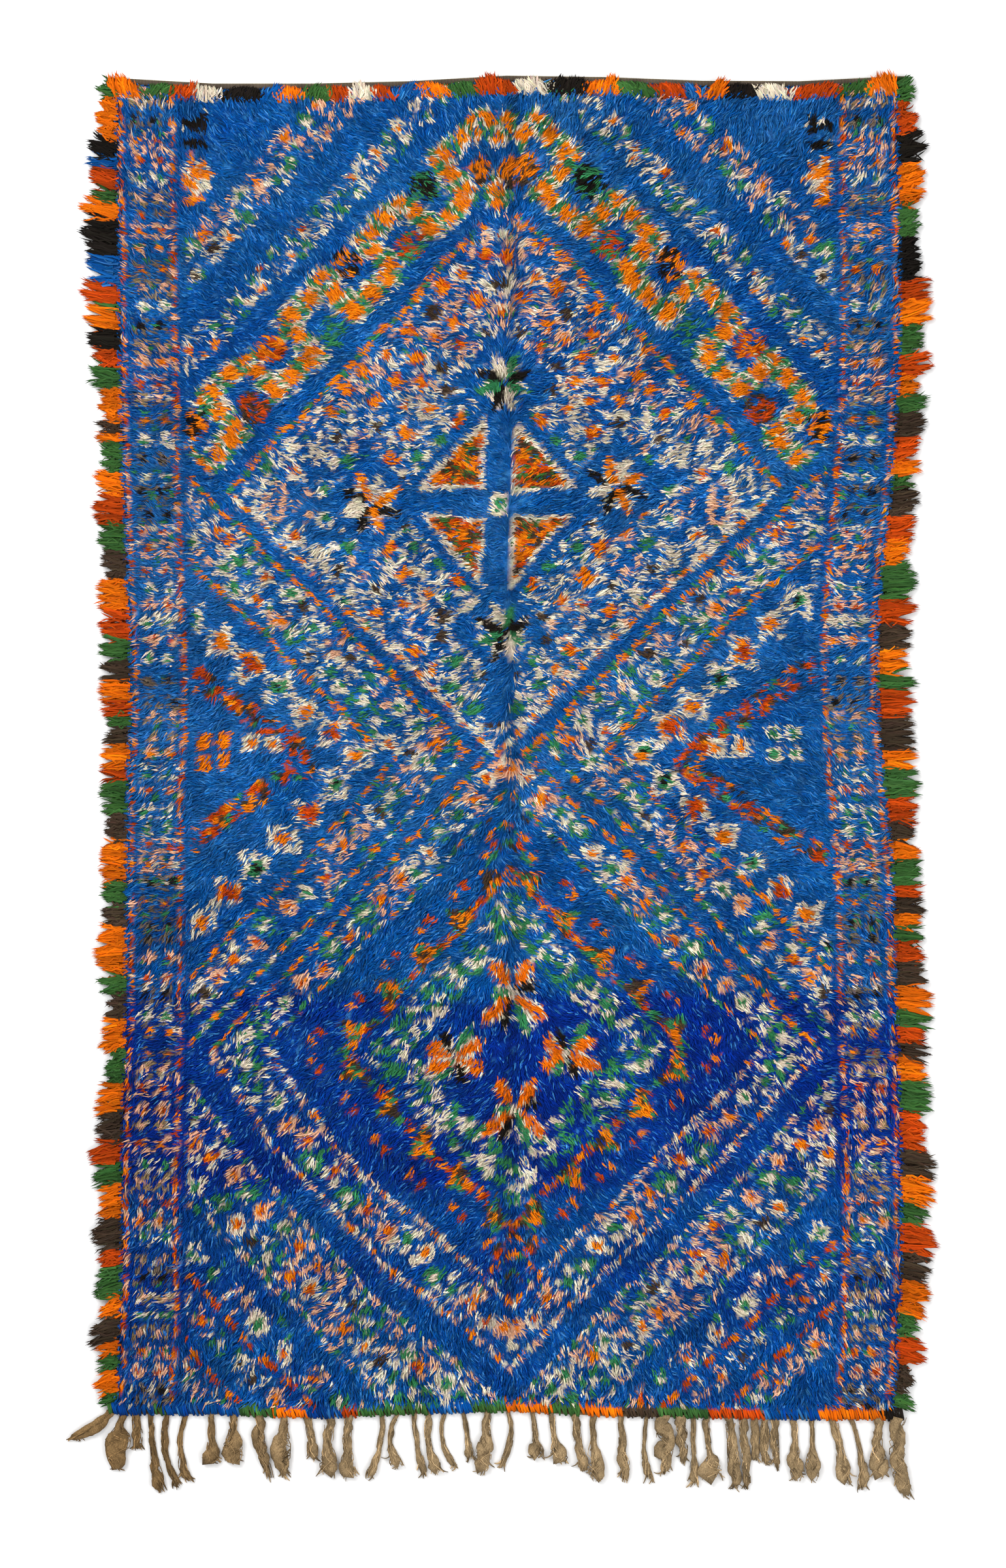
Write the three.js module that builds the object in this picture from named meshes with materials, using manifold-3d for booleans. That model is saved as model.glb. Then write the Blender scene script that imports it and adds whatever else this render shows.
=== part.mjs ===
// A hand-knotted shag rug, lying flat: pile field, two tufted selvedges, woven heading,
// overcast end binding and warp fringe.
// Millimetres. +X runs across the rug, +Y towards its woven heading, +Z up from the floor at z = 0.

import * as THREE from 'three';
import { mergeVertices } from 'three/addons/utils/BufferGeometryUtils.js';
import Module from 'manifold-3d';

const wasm = await Module();
wasm.setup();

// Neighbouring pieces are parted by this much.
const GAP = 0.35;

// Pile field: heights above the floor, and the soft waves of its surface.
const PILE_HEIGHT = 27;
const RIM_HEIGHT = 19;
const RIM_REACH = 70;
const LUMP_HEIGHT = 3.5;
const LUMP_ACROSS = 62;
const LUMP_ALONG = 84;
const LUMP_SWAY = 150;
const PARTING_DEPTH = 6;
const PARTING_REACH = 45;
const CREASE_REACH = 40;
const COLUMNS_PER_SECTION = 4;
const ROWS_PER_SECTION = 3;

// Selvedges: a narrow strip on each side, with outward locks of longer yarn.
const SELVEDGE_WIDTH = 18;
const SELVEDGE_HEIGHT = 20;
const SELVEDGE_LOCKS = 70;
const SELVEDGE_LOCK_WIDTH = 37;
const SELVEDGE_LOCK_HEIGHT = 17;
const SELVEDGE_LOCK_SCATTER = 16;
const SELVEDGE_FAN = 0.25;

// Woven heading, with short tufts that poke over its edge.
const HEADING_DEPTH = 13;
const HEADING_HEIGHT = 9;
const HEADING_LOCKS = 44;
const HEADING_LOCK_WIDTH = 30;
const HEADING_LOCK_HEIGHT = 8;
const HEADING_LOCK_LEAST = 2;
const HEADING_LOCK_REACH = 24;
const HEADING_LOCK_LEAN = 8;

// Overcast end binding, lumpy along its run.
const BINDING_DEPTH = 19;
const BINDING_HEIGHT = 16;
const BINDING_DIP = 4;
const BINDING_STITCHES = 48;

// Warp fringe: a narrow strip of warp roots, and its strands.
const FRINGE_STRIP_DEPTH = 11;
const FRINGE_STRIP_HEIGHT = 9;
const STRAND_STEPS = [0, 0.16, 0.34, 0.5, 0.65, 0.8, 0.92, 1];
const STRAND_FLATNESS = 0.55;
const STRAND_MIN_HEIGHT = 5;
const STRAND_MAX_HEIGHT = 17;
const STRAND_CROWN = 0.62;
const FRAY_LENGTH = 26;
const FRAY_SPREAD = 0.42;
const FRAY_FILL = 0.72;
const FRAY_SHORTEST = 0.55;

// How far a strand or lock runs into its strip, so that its root is fused.
const ROOT_DEPTH = 6;

// Equal steps along the length, from the fringe end to the heading:
// the pile field's two side edges, and how far the selvedge tufts reach.
const SIDE_SECTIONS = [
  { left: -843, right: 830, leftTips: -879, rightTips: 871 },
  { left: -836, right: 840, leftTips: -896, rightTips: 888 },
  { left: -833, right: 846, leftTips: -883, rightTips: 911 },
  { left: -833, right: 847, leftTips: -892, rightTips: 913 },
  { left: -832, right: 846, leftTips: -890, rightTips: 903 },
  { left: -826, right: 840, leftTips: -872, rightTips: 909 },
  { left: -823, right: 834, leftTips: -874, rightTips: 902 },
  { left: -823, right: 833, leftTips: -878, rightTips: 899 },
  { left: -823, right: 825, leftTips: -876, rightTips: 889 },
  { left: -820, right: 809, leftTips: -878, rightTips: 875 },
  { left: -813, right: 797, leftTips: -875, rightTips: 867 },
  { left: -815, right: 795, leftTips: -872, rightTips: 865 },
  { left: -823, right: 805, leftTips: -872, rightTips: 868 },
  { left: -829, right: 823, leftTips: -882, rightTips: 876 },
  { left: -834, right: 834, leftTips: -881, rightTips: 893 },
  { left: -837, right: 843, leftTips: -897, rightTips: 899 },
  { left: -839, right: 844, leftTips: -906, rightTips: 907 },
  { left: -841, right: 843, leftTips: -916, rightTips: 886 },
  { left: -843, right: 840, leftTips: -896, rightTips: 890 },
  { left: -844, right: 837, leftTips: -876, rightTips: 869 },
];

// Equal steps across the width, from the left side to the right: the pile field's two end edges.
const END_SECTIONS = [
  { bottom: -1407, top: 1421 },
  { bottom: -1407, top: 1409 },
  { bottom: -1415, top: 1409 },
  { bottom: -1407, top: 1414 },
  { bottom: -1400, top: 1426 },
  { bottom: -1411, top: 1423 },
  { bottom: -1415, top: 1415 },
  { bottom: -1418, top: 1414 },
  { bottom: -1418, top: 1425 },
];

// Soft creases where the rug was folded, by their place along the length.
const CREASES = [
  { y: 475, depth: 3 },
  { y: 62, depth: 5 },
  { y: -602, depth: 5 },
  { y: -802, depth: 3 },
  { y: -923, depth: 3 },
];

// Fringe strands from left to right: where each leaves the strip, swings at half length and ends (x),
// how far it runs from the strip, its stem, its widest width and where along it that is,
// the width of its end, and the number of frayed tips there.
const STRANDS = [
  { root: -853, swing: -888, tip: -949, run: 56, stem: 22, head: 26, headAt: 0.5, end: 9, frays: 0 },
  { root: -827, swing: -838, tip: -843, run: 122, stem: 14, head: 52, headAt: 0.5, end: 6, frays: 0 },
  { root: -803, swing: -797, tip: -797, run: 74, stem: 18, head: 20, headAt: 0.6, end: 15, frays: 0 },
  { root: -767, swing: -762, tip: -742, run: 175, stem: 12, head: 25, headAt: 0.8, end: 12, frays: 0 },
  { root: -731, swing: -737, tip: -704, run: 161, stem: 13, head: 17, headAt: 0.85, end: 13, frays: 0 },
  { root: -690, swing: -705, tip: -684, run: 147, stem: 10, head: 22, headAt: 0.85, end: 18, frays: 0 },
  { root: -641, swing: -638, tip: -640, run: 105, stem: 15, head: 38, headAt: 0.92, end: 36, frays: 2 },
  { root: -590, swing: -592, tip: -591, run: 101, stem: 17, head: 40, headAt: 0.7, end: 30, frays: 0 },
  { root: -535, swing: -532, tip: -507, run: 136, stem: 20, head: 23, headAt: 0.5, end: 8, frays: 0 },
  { root: -478, swing: -487, tip: -481, run: 133, stem: 18, head: 38, headAt: 0.5, end: 10, frays: 0 },
  { root: -431, swing: -424, tip: -419, run: 92, stem: 16, head: 22, headAt: 0.8, end: 14, frays: 0 },
  { root: -384, swing: -386, tip: -386, run: 124, stem: 20, head: 36, headAt: 0.8, end: 30, frays: 2 },
  { root: -340, swing: -347, tip: -337, run: 132, stem: 18, head: 30, headAt: 0.8, end: 26, frays: 2 },
  { root: -270, swing: -277, tip: -304, run: 137, stem: 12, head: 20, headAt: 0.85, end: 16, frays: 0 },
  { root: -234, swing: -254, tip: -236, run: 112, stem: 10, head: 28, headAt: 0.9, end: 26, frays: 3 },
  { root: -204, swing: -195, tip: -179, run: 137, stem: 11, head: 15, headAt: 0.85, end: 10, frays: 0 },
  { root: -167, swing: -172, tip: -147, run: 128, stem: 13, head: 29, headAt: 0.9, end: 25, frays: 2 },
  { root: -134, swing: -142, tip: -108, run: 122, stem: 9, head: 14, headAt: 0.8, end: 7, frays: 0 },
  { root: -97, swing: -89, tip: -83, run: 102, stem: 10, head: 18, headAt: 0.85, end: 16, frays: 2 },
  { root: -43, swing: -50, tip: -57, run: 130, stem: 16, head: 34, headAt: 0.62, end: 24, frays: 2 },
  { root: -1, swing: 4, tip: -20, run: 125, stem: 11, head: 14, headAt: 0.7, end: 5, frays: 0 },
  { root: 52, swing: 58, tip: 61, run: 98, stem: 11, head: 33, headAt: 0.9, end: 30, frays: 3 },
  { root: 94, swing: 98, tip: 114, run: 104, stem: 12, head: 33, headAt: 0.9, end: 29, frays: 3 },
  { root: 146, swing: 150, tip: 161, run: 122, stem: 16, head: 25, headAt: 0.8, end: 15, frays: 0 },
  { root: 183, swing: 183, tip: 194, run: 145, stem: 13, head: 35, headAt: 0.72, end: 15, frays: 0 },
  { root: 242, swing: 246, tip: 252, run: 145, stem: 13, head: 24, headAt: 0.68, end: 6, frays: 0 },
  { root: 300, swing: 293, tip: 303, run: 136, stem: 9, head: 17, headAt: 0.85, end: 14, frays: 2 },
  { root: 332, swing: 337, tip: 335, run: 126, stem: 30, head: 35, headAt: 0.4, end: 9, frays: 0 },
  { root: 370, swing: 375, tip: 375, run: 98, stem: 24, head: 20, headAt: 0.6, end: 8, frays: 0 },
  { root: 399, swing: 398, tip: 402, run: 148, stem: 10, head: 20, headAt: 0.85, end: 15, frays: 0 },
  { root: 427, swing: 430, tip: 440, run: 128, stem: 13, head: 44, headAt: 0.9, end: 38, frays: 3 },
  { root: 476, swing: 483, tip: 490, run: 154, stem: 20, head: 26, headAt: 0.65, end: 12, frays: 0 },
  { root: 504, swing: 508, tip: 516, run: 155, stem: 17, head: 18, headAt: 0.6, end: 11, frays: 0 },
  { root: 531, swing: 530, tip: 530, run: 92, stem: 17, head: 17, headAt: 0.5, end: 11, frays: 0 },
  { root: 551, swing: 551, tip: 553, run: 100, stem: 17, head: 18, headAt: 0.5, end: 12, frays: 0 },
  { root: 571, swing: 572, tip: 576, run: 106, stem: 17, head: 18, headAt: 0.5, end: 11, frays: 0 },
  { root: 615, swing: 617, tip: 622, run: 135, stem: 13, head: 29, headAt: 0.75, end: 16, frays: 0 },
  { root: 656, swing: 653, tip: 655, run: 135, stem: 10, head: 29, headAt: 0.75, end: 16, frays: 0 },
  { root: 697, swing: 713, tip: 728, run: 140, stem: 17, head: 29, headAt: 0.8, end: 18, frays: 0 },
  { root: 735, swing: 757, tip: 760, run: 155, stem: 10, head: 22, headAt: 0.8, end: 10, frays: 0 },
  { root: 794, swing: 794, tip: 796, run: 124, stem: 20, head: 40, headAt: 0.8, end: 30, frays: 2 },
  { root: 840, swing: 836, tip: 858, run: 166, stem: 30, head: 33, headAt: 0.5, end: 28, frays: 3 },
];

const WOOL_COLOURS = {
  pileBlue: 0x1c5fbe,
  tuftOrange: 0xe2741c,
  headingBrown: 0x6e5f50,
  bindingGreen: 0x2c7d55,
  fringeTaupe: 0x7d6950,
};

function scatter(seed) {
  const wave = Math.sin(seed * 127.1 + 311.7) * 43758.5453;
  return wave - Math.floor(wave);
}

// Value of one column of a table whose rows stand at equal steps, at a place from 0 to 1.
function along(rows, column, place) {
  const position = THREE.MathUtils.clamp(place, 0, 1) * (rows.length - 1);
  const first = Math.min(Math.floor(position), rows.length - 2);
  return THREE.MathUtils.lerp(rows[first][column], rows[first + 1][column], position - first);
}

// The field's outline spreads over its whole area: u from left to right, v from fringe end to heading.
function fieldPoint(u, v) {
  const x = THREE.MathUtils.lerp(along(SIDE_SECTIONS, 'left', v), along(SIDE_SECTIONS, 'right', v), u);
  const y = THREE.MathUtils.lerp(along(END_SECTIONS, 'bottom', u), along(END_SECTIONS, 'top', u), v);
  return new THREE.Vector2(x, y);
}

function bell(distance, reach) {
  return Math.exp(-((distance / reach) ** 2));
}

function pileHeight(u, v) {
  const { x, y } = fieldPoint(u, v);
  const middle = fieldPoint(0.5, v).x;
  const nearestSide = Math.min(x - fieldPoint(0, v).x, fieldPoint(1, v).x - x);
  const nearestEnd = Math.min(y - fieldPoint(u, 0).y, fieldPoint(u, 1).y - y);
  const rise = THREE.MathUtils.smoothstep(Math.min(nearestSide, nearestEnd), 0, RIM_REACH);
  const swayed = x + LUMP_ACROSS * 0.6 * Math.sin(y / LUMP_ALONG / 2);
  const lump = Math.sin(2 * swayed / LUMP_ACROSS) * Math.sin(2 * y / LUMP_ALONG + x / LUMP_SWAY);
  let crown = PILE_HEIGHT + LUMP_HEIGHT * lump - PARTING_DEPTH * bell(x - middle, PARTING_REACH);
  for (const crease of CREASES) {
    crown -= crease.depth * bell(y - crease.y, CREASE_REACH);
  }
  return THREE.MathUtils.lerp(RIM_HEIGHT, crown, rise);
}

function geometryOf(positions, triangles) {
  const geometry = new THREE.BufferGeometry();
  geometry.setAttribute('position', new THREE.Float32BufferAttribute(positions, 3));
  geometry.setIndex(triangles);
  return geometry;
}

// Closed skin over rings of equal length, with flat ends. Rings run counterclockwise
// when seen against the direction in which they follow each other.
function loft(rings) {
  const size = rings[0].length;
  const positions = rings.flat().flatMap((point) => [point.x, point.y, point.z]);
  const triangles = [];
  for (let ring = 0; ring + 1 < rings.length; ring += 1) {
    for (let side = 0; side < size; side += 1) {
      const a = ring * size + side;
      const b = ring * size + (side + 1) % size;
      triangles.push(a, b, b + size, a, b + size, a + size);
    }
  }
  const last = (rings.length - 1) * size;
  for (let side = 1; side + 1 < size; side += 1) {
    triangles.push(0, side + 1, side, last, last + side, last + side + 1);
  }
  return geometryOf(positions, triangles);
}

function solidOf(geometry) {
  const mesh = new wasm.Mesh({
    numProp: 3,
    vertProperties: Float32Array.from(geometry.getAttribute('position').array),
    triVerts: Uint32Array.from(geometry.getIndex().array),
  });
  return new wasm.Manifold(mesh);
}

function fuse(geometries) {
  let whole = solidOf(geometries[0]);
  for (const geometry of geometries.slice(1)) {
    whole = whole.add(solidOf(geometry));
  }
  const mesh = whole.getMesh();
  return mergeVertices(geometryOf(Array.from(mesh.vertProperties), Array.from(mesh.triVerts)), 1e-4);
}

// Ring of a yarn form on the floor: a flat base across its path, and a ridge or a crowned top over it.
function floorRing(centre, heading, width, height, crown) {
  const across = new THREE.Vector2(-heading.y, heading.x).normalize();
  const corner = (reach, z) => new THREE.Vector3(
    centre.x + across.x * reach * width / 2,
    centre.y + across.y * reach * width / 2,
    z,
  );
  const top = crown > 0 ? [corner(crown, height), corner(-crown, height)] : [corner(0, height)];
  return [corner(-1, 0), corner(1, 0), ...top];
}

// Three-sided lock of yarn, tapering from its root to a blunt tip.
function lockOfYarn(root, tip, width, height) {
  const heading = tip.clone().sub(root);
  const stages = [
    { place: 0, share: 1 },
    { place: 0.65, share: 0.97 },
    { place: 1, share: 0.45 },
  ];
  return loft(stages.map(({ place, share }) => floorRing(
    root.clone().addScaledVector(heading, place), heading, width * share, height * share, 0,
  )));
}

function makePileField() {
  const columns = (END_SECTIONS.length - 1) * COLUMNS_PER_SECTION;
  const rows = (SIDE_SECTIONS.length - 1) * ROWS_PER_SECTION;
  const positions = [];
  const triangles = [];
  const topIndex = (column, row) => row * (columns + 1) + column;
  for (let row = 0; row <= rows; row += 1) {
    for (let column = 0; column <= columns; column += 1) {
      const point = fieldPoint(column / columns, row / rows);
      positions.push(point.x, point.y, pileHeight(column / columns, row / rows));
    }
  }
  for (let row = 0; row < rows; row += 1) {
    for (let column = 0; column < columns; column += 1) {
      const a = topIndex(column, row);
      const b = topIndex(column + 1, row);
      const c = topIndex(column + 1, row + 1);
      const d = topIndex(column, row + 1);
      triangles.push(a, b, c, a, c, d);
    }
  }
  const rim = [];
  for (let column = 0; column < columns; column += 1) rim.push(topIndex(column, 0));
  for (let row = 0; row < rows; row += 1) rim.push(topIndex(columns, row));
  for (let column = columns; column > 0; column -= 1) rim.push(topIndex(column, rows));
  for (let row = rows; row > 0; row -= 1) rim.push(topIndex(0, row));

  const floorStart = positions.length / 3;
  const contour = rim.map((index) => new THREE.Vector2(positions[index * 3], positions[index * 3 + 1]));
  contour.forEach((point) => positions.push(point.x, point.y, 0));
  rim.forEach((top, place) => {
    const next = (place + 1) % rim.length;
    triangles.push(top, floorStart + place, floorStart + next, top, floorStart + next, rim[next]);
  });
  for (const [a, b, c] of THREE.ShapeUtils.triangulateShape(contour, [])) {
    triangles.push(floorStart + a, floorStart + c, floorStart + b);
  }
  return geometryOf(positions, triangles);
}

// A selvedge: side is -1 for the left one and 1 for the right one.
function makeSelvedge(side) {
  const edge = side < 0 ? 0 : 1;
  const tips = side < 0 ? 'leftTips' : 'rightTips';
  const stations = SIDE_SECTIONS.map((section, index) => index / (SIDE_SECTIONS.length - 1));
  const strip = loft(stations.map((place) => {
    const { x, y } = fieldPoint(edge, place);
    const inner = x + side * GAP;
    const outer = inner + side * SELVEDGE_WIDTH;
    const west = Math.min(inner, outer);
    const east = Math.max(inner, outer);
    return [
      new THREE.Vector3(west, y, 0),
      new THREE.Vector3(west, y, SELVEDGE_HEIGHT),
      new THREE.Vector3(east, y, SELVEDGE_HEIGHT),
      new THREE.Vector3(east, y, 0),
    ];
  }));
  const locks = [];
  for (let index = 0; index < SELVEDGE_LOCKS; index += 1) {
    const place = (index + 0.5) / SELVEDGE_LOCKS;
    const edgePoint = fieldPoint(edge, place);
    const root = new THREE.Vector2(edgePoint.x + side * (GAP + SELVEDGE_WIDTH - ROOT_DEPTH), edgePoint.y);
    const reach = along(SIDE_SECTIONS, tips, place)
      + side * SELVEDGE_LOCK_SCATTER * (scatter(index + 50 * edge) - 0.5);
    const fan = SELVEDGE_FAN * (2 * place - 1) * Math.abs(reach - root.x);
    const tip = new THREE.Vector2(reach, root.y + fan);
    locks.push(lockOfYarn(root, tip, SELVEDGE_LOCK_WIDTH, SELVEDGE_LOCK_HEIGHT));
  }
  return fuse([strip, ...locks]);
}

// Strip along one end of the field. Its cross-section is given by the distance of its two edges
// from the field and by a height for each place along it. It also runs past both selvedges.
function endStrip(endRow, outward, nearEdge, farEdge, places, heightAt) {
  const sections = places.map((place, index) => {
    const { x, y } = fieldPoint(THREE.MathUtils.clamp(place, 0, 1), endRow);
    const overrun = place < 0 ? -SELVEDGE_WIDTH : place > 1 ? SELVEDGE_WIDTH : 0;
    const near = y + outward * nearEdge;
    const far = y + outward * farEdge;
    const south = Math.min(near, far);
    const north = Math.max(near, far);
    const height = heightAt(index);
    return [
      new THREE.Vector3(x + overrun, south, 0),
      new THREE.Vector3(x + overrun, north, 0),
      new THREE.Vector3(x + overrun, north, height),
      new THREE.Vector3(x + overrun, south, height),
    ];
  });
  return loft(sections);
}

// Places across an end, with one more beyond each side for the run past the selvedges.
function placesAcross(steps) {
  const inside = Array.from({ length: steps + 1 }, (unused, index) => index / steps);
  return [-1, ...inside, 2];
}

function makeHeading() {
  const farEdge = GAP + HEADING_DEPTH;
  const places = placesAcross(END_SECTIONS.length - 1);
  const strip = endStrip(1, 1, GAP, farEdge, places, () => HEADING_HEIGHT);
  const locks = [];
  for (let index = 0; index < HEADING_LOCKS; index += 1) {
    const edgePoint = fieldPoint((index + 0.5) / HEADING_LOCKS, 1);
    const root = new THREE.Vector2(edgePoint.x, edgePoint.y + farEdge - ROOT_DEPTH);
    const reach = ROOT_DEPTH + HEADING_LOCK_LEAST + HEADING_LOCK_REACH * scatter(index + 200) ** 3;
    const lean = HEADING_LOCK_LEAN * (scatter(index + 300) - 0.5);
    const tip = new THREE.Vector2(root.x + lean, root.y + reach);
    locks.push(lockOfYarn(root, tip, HEADING_LOCK_WIDTH, HEADING_LOCK_HEIGHT));
  }
  return fuse([strip, ...locks]);
}

function makeEndBinding() {
  const places = placesAcross(BINDING_STITCHES * 2);
  const lumps = (index) => BINDING_HEIGHT - (index % 2) * BINDING_DIP;
  return endStrip(0, -1, GAP, GAP + BINDING_DEPTH, places, lumps);
}

function strandWidth(strand, place) {
  const swellFrom = Math.max(strand.headAt - 0.35, 0.05);
  if (place <= strand.headAt) {
    const swell = THREE.MathUtils.smoothstep(place, swellFrom, strand.headAt);
    return THREE.MathUtils.lerp(strand.stem, strand.head, swell);
  }
  const shrink = (place - strand.headAt) / (1 - strand.headAt);
  return THREE.MathUtils.lerp(strand.head, strand.end, shrink * shrink);
}

function strandHeight(width) {
  return THREE.MathUtils.clamp(width * STRAND_FLATNESS, STRAND_MIN_HEIGHT, STRAND_MAX_HEIGHT);
}

// Place along an end, from 0 to 1, of a given x.
function placeAcross(x) {
  const west = fieldPoint(0, 0).x;
  const east = fieldPoint(1, 0).x;
  return THREE.MathUtils.clamp((x - west) / (east - west), 0, 1);
}

// One strand with its frayed tips: a crowned four-sided cord that lies level on the floor.
function makeStrand(strand, index) {
  const stripEdge = along(END_SECTIONS, 'bottom', placeAcross(strand.root))
    - (GAP + BINDING_DEPTH) - (GAP + FRINGE_STRIP_DEPTH);
  const start = new THREE.Vector2(strand.root, stripEdge + ROOT_DEPTH);
  const end = new THREE.Vector2(strand.tip, stripEdge - strand.run);
  const pull = new THREE.Vector2(2 * strand.swing - (start.x + end.x) / 2, (start.y + end.y) / 2);
  const path = new THREE.QuadraticBezierCurve(start, pull, end);
  const forms = [loft(STRAND_STEPS.map((place) => {
    const width = strandWidth(strand, place);
    const heading = place > 0 ? path.getTangent(place) : new THREE.Vector2(0, -1);
    return floorRing(path.getPoint(place), heading, width, strandHeight(width), STRAND_CROWN);
  }))];
  const heading = path.getTangent(1);
  const across = new THREE.Vector2(-heading.y, heading.x);
  for (let fray = 0; fray < strand.frays; fray += 1) {
    const spread = (fray + 0.5) / strand.frays - 0.5;
    const width = FRAY_FILL * strand.end / strand.frays;
    const root = end.clone()
      .addScaledVector(across, spread * strand.end)
      .addScaledVector(heading, -ROOT_DEPTH);
    const share = THREE.MathUtils.lerp(FRAY_SHORTEST, 1, scatter(index * 5 + fray + 400));
    const length = ROOT_DEPTH + FRAY_LENGTH * share;
    const tip = root.clone().addScaledVector(heading, length)
      .addScaledVector(across, 2 * FRAY_SPREAD * spread * length);
    forms.push(lockOfYarn(root, tip, width, strandHeight(width)));
  }
  return forms;
}

function makeFringe() {
  const nearEdge = GAP + BINDING_DEPTH + GAP;
  const places = placesAcross(END_SECTIONS.length - 1);
  const strip = endStrip(0, -1, nearEdge, nearEdge + FRINGE_STRIP_DEPTH, places, () => FRINGE_STRIP_HEIGHT);
  return fuse([strip, ...STRANDS.flatMap(makeStrand)]);
}

function wool(colour) {
  return new THREE.MeshStandardMaterial({ color: colour, roughness: 0.95, metalness: 0 });
}

function addPiece(parent, name, geometry, colour) {
  const piece = new THREE.Mesh(geometry, wool(colour));
  piece.name = name;
  parent.add(piece);
}

const rug = new THREE.Group();
rug.name = 'berber_rug';
addPiece(rug, 'pile_field', makePileField(), WOOL_COLOURS.pileBlue);
addPiece(rug, 'selvedge_left', makeSelvedge(-1), WOOL_COLOURS.tuftOrange);
addPiece(rug, 'selvedge_right', makeSelvedge(1), WOOL_COLOURS.tuftOrange);
addPiece(rug, 'top_heading', makeHeading(), WOOL_COLOURS.headingBrown);
addPiece(rug, 'end_binding', makeEndBinding(), WOOL_COLOURS.bindingGreen);
addPiece(rug, 'warp_fringe', makeFringe(), WOOL_COLOURS.fringeTaupe);

export default rug;
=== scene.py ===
# %% [markdown]
# # A hand-knotted shag rug, seen from above
# The real rug is a woven ground sheet with tens of thousands of knots of wool, each with its two
# ends left long. Both long sides carry tufts of longer yarn, one end has a narrow woven heading,
# and the other end is overcast with wool and lets its warps hang out as a fringe.
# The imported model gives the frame: metres, +X across the rug, +Y towards the heading, z = 0 on the
# floor. Everything below is dressed around it.

# %% Load the frame
import math

import bpy
import numpy as np
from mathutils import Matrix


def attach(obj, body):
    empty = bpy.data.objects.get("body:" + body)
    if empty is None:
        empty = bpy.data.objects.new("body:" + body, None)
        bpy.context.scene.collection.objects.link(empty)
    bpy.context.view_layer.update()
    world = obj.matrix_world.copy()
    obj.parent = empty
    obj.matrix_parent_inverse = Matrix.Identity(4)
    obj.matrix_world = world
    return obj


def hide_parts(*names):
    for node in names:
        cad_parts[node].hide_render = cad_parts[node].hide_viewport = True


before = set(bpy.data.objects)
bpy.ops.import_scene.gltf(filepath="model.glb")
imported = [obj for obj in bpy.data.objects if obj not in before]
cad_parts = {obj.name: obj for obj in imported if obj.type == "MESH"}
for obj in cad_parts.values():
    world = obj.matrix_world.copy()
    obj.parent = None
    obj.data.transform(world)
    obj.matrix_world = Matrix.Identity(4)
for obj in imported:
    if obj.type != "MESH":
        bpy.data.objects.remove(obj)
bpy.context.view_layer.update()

# %% [markdown]
# ## The outline of the rug
# Hand-made rugs are never true rectangles: the sides wander and the ends bow a little. The same
# few sections as in the solids give the outline, in millimetres. Any point of the field is then
# named by u, from left to right, and v, from the fringe end to the heading. Working in u and v
# keeps pile, ground and edges together without any fitting.

# %% Sections of the outline
MM = 0.001

# Equal steps from the fringe end to the heading: left edge, right edge, left tips, right tips.
SIDE_SECTIONS = np.array([
    (-843, 830, -879, 871), (-836, 840, -896, 888), (-833, 846, -883, 911), (-833, 847, -892, 913),
    (-832, 846, -890, 903), (-826, 840, -872, 909), (-823, 834, -874, 902), (-823, 833, -878, 899),
    (-823, 825, -876, 889), (-820, 809, -878, 875), (-813, 797, -875, 867), (-815, 795, -872, 865),
    (-823, 805, -872, 868), (-829, 823, -882, 876), (-834, 834, -881, 893), (-837, 843, -897, 899),
    (-839, 844, -906, 907), (-841, 843, -916, 886), (-843, 840, -896, 890), (-844, 837, -876, 869),
], dtype=float)
LEFT, RIGHT, LEFT_TIPS, RIGHT_TIPS = SIDE_SECTIONS.T

# Equal steps from left to right: fringe end, heading end.
END_SECTIONS = np.array([
    (-1407, 1421), (-1407, 1409), (-1415, 1409), (-1407, 1414), (-1400, 1426),
    (-1411, 1423), (-1415, 1415), (-1418, 1414), (-1418, 1425),
], dtype=float)
BOTTOM, TOP = END_SECTIONS.T


def along(column, place):
    """Value of a column whose rows stand at equal steps, at a place from 0 to 1."""
    return np.interp(place, np.linspace(0, 1, len(column)), column)


def field_point(u, v):
    """Straight blend of the two sides in u and of the two ends in v."""
    x = along(LEFT, v) + (along(RIGHT, v) - along(LEFT, v)) * u
    y = along(BOTTOM, u) + (along(TOP, u) - along(BOTTOM, u)) * v
    return x, y


def smooth_step(value, low, high):
    """S-curve from 0 at low to 1 at high: 3t^2 - 2t^3."""
    share = np.clip((value - low) / (high - low), 0, 1)
    return share * share * (3 - 2 * share)


print("Field, mean width and length in mm:",
      round(float(np.mean(RIGHT - LEFT))), round(float(np.mean(TOP - BOTTOM))))

# %% [markdown]
# ## The lie of the pile
# The pile is a soft layer about 27 mm thick. It is lower at the rim, parts along a line down the
# middle, and has a few soft creases where the rug has been folded. The height below is the one of
# the solid, so that the yarns end where the solid's surface is.

# %% Height of the pile
PILE_HEIGHT = 27
RIM_HEIGHT = 19
RIM_REACH = 70
LUMP_HEIGHT = 3.5
LUMP_ACROSS = 62
LUMP_ALONG = 84
LUMP_SWAY = 150
PARTING_DEPTH = 6
PARTING_REACH = 45
CREASE_REACH = 40
CREASES = ((475, 3), (62, 5), (-602, 5), (-802, 3), (-923, 3))


def bell(distance, reach):
    return np.exp(-((distance / reach) ** 2))


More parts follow.
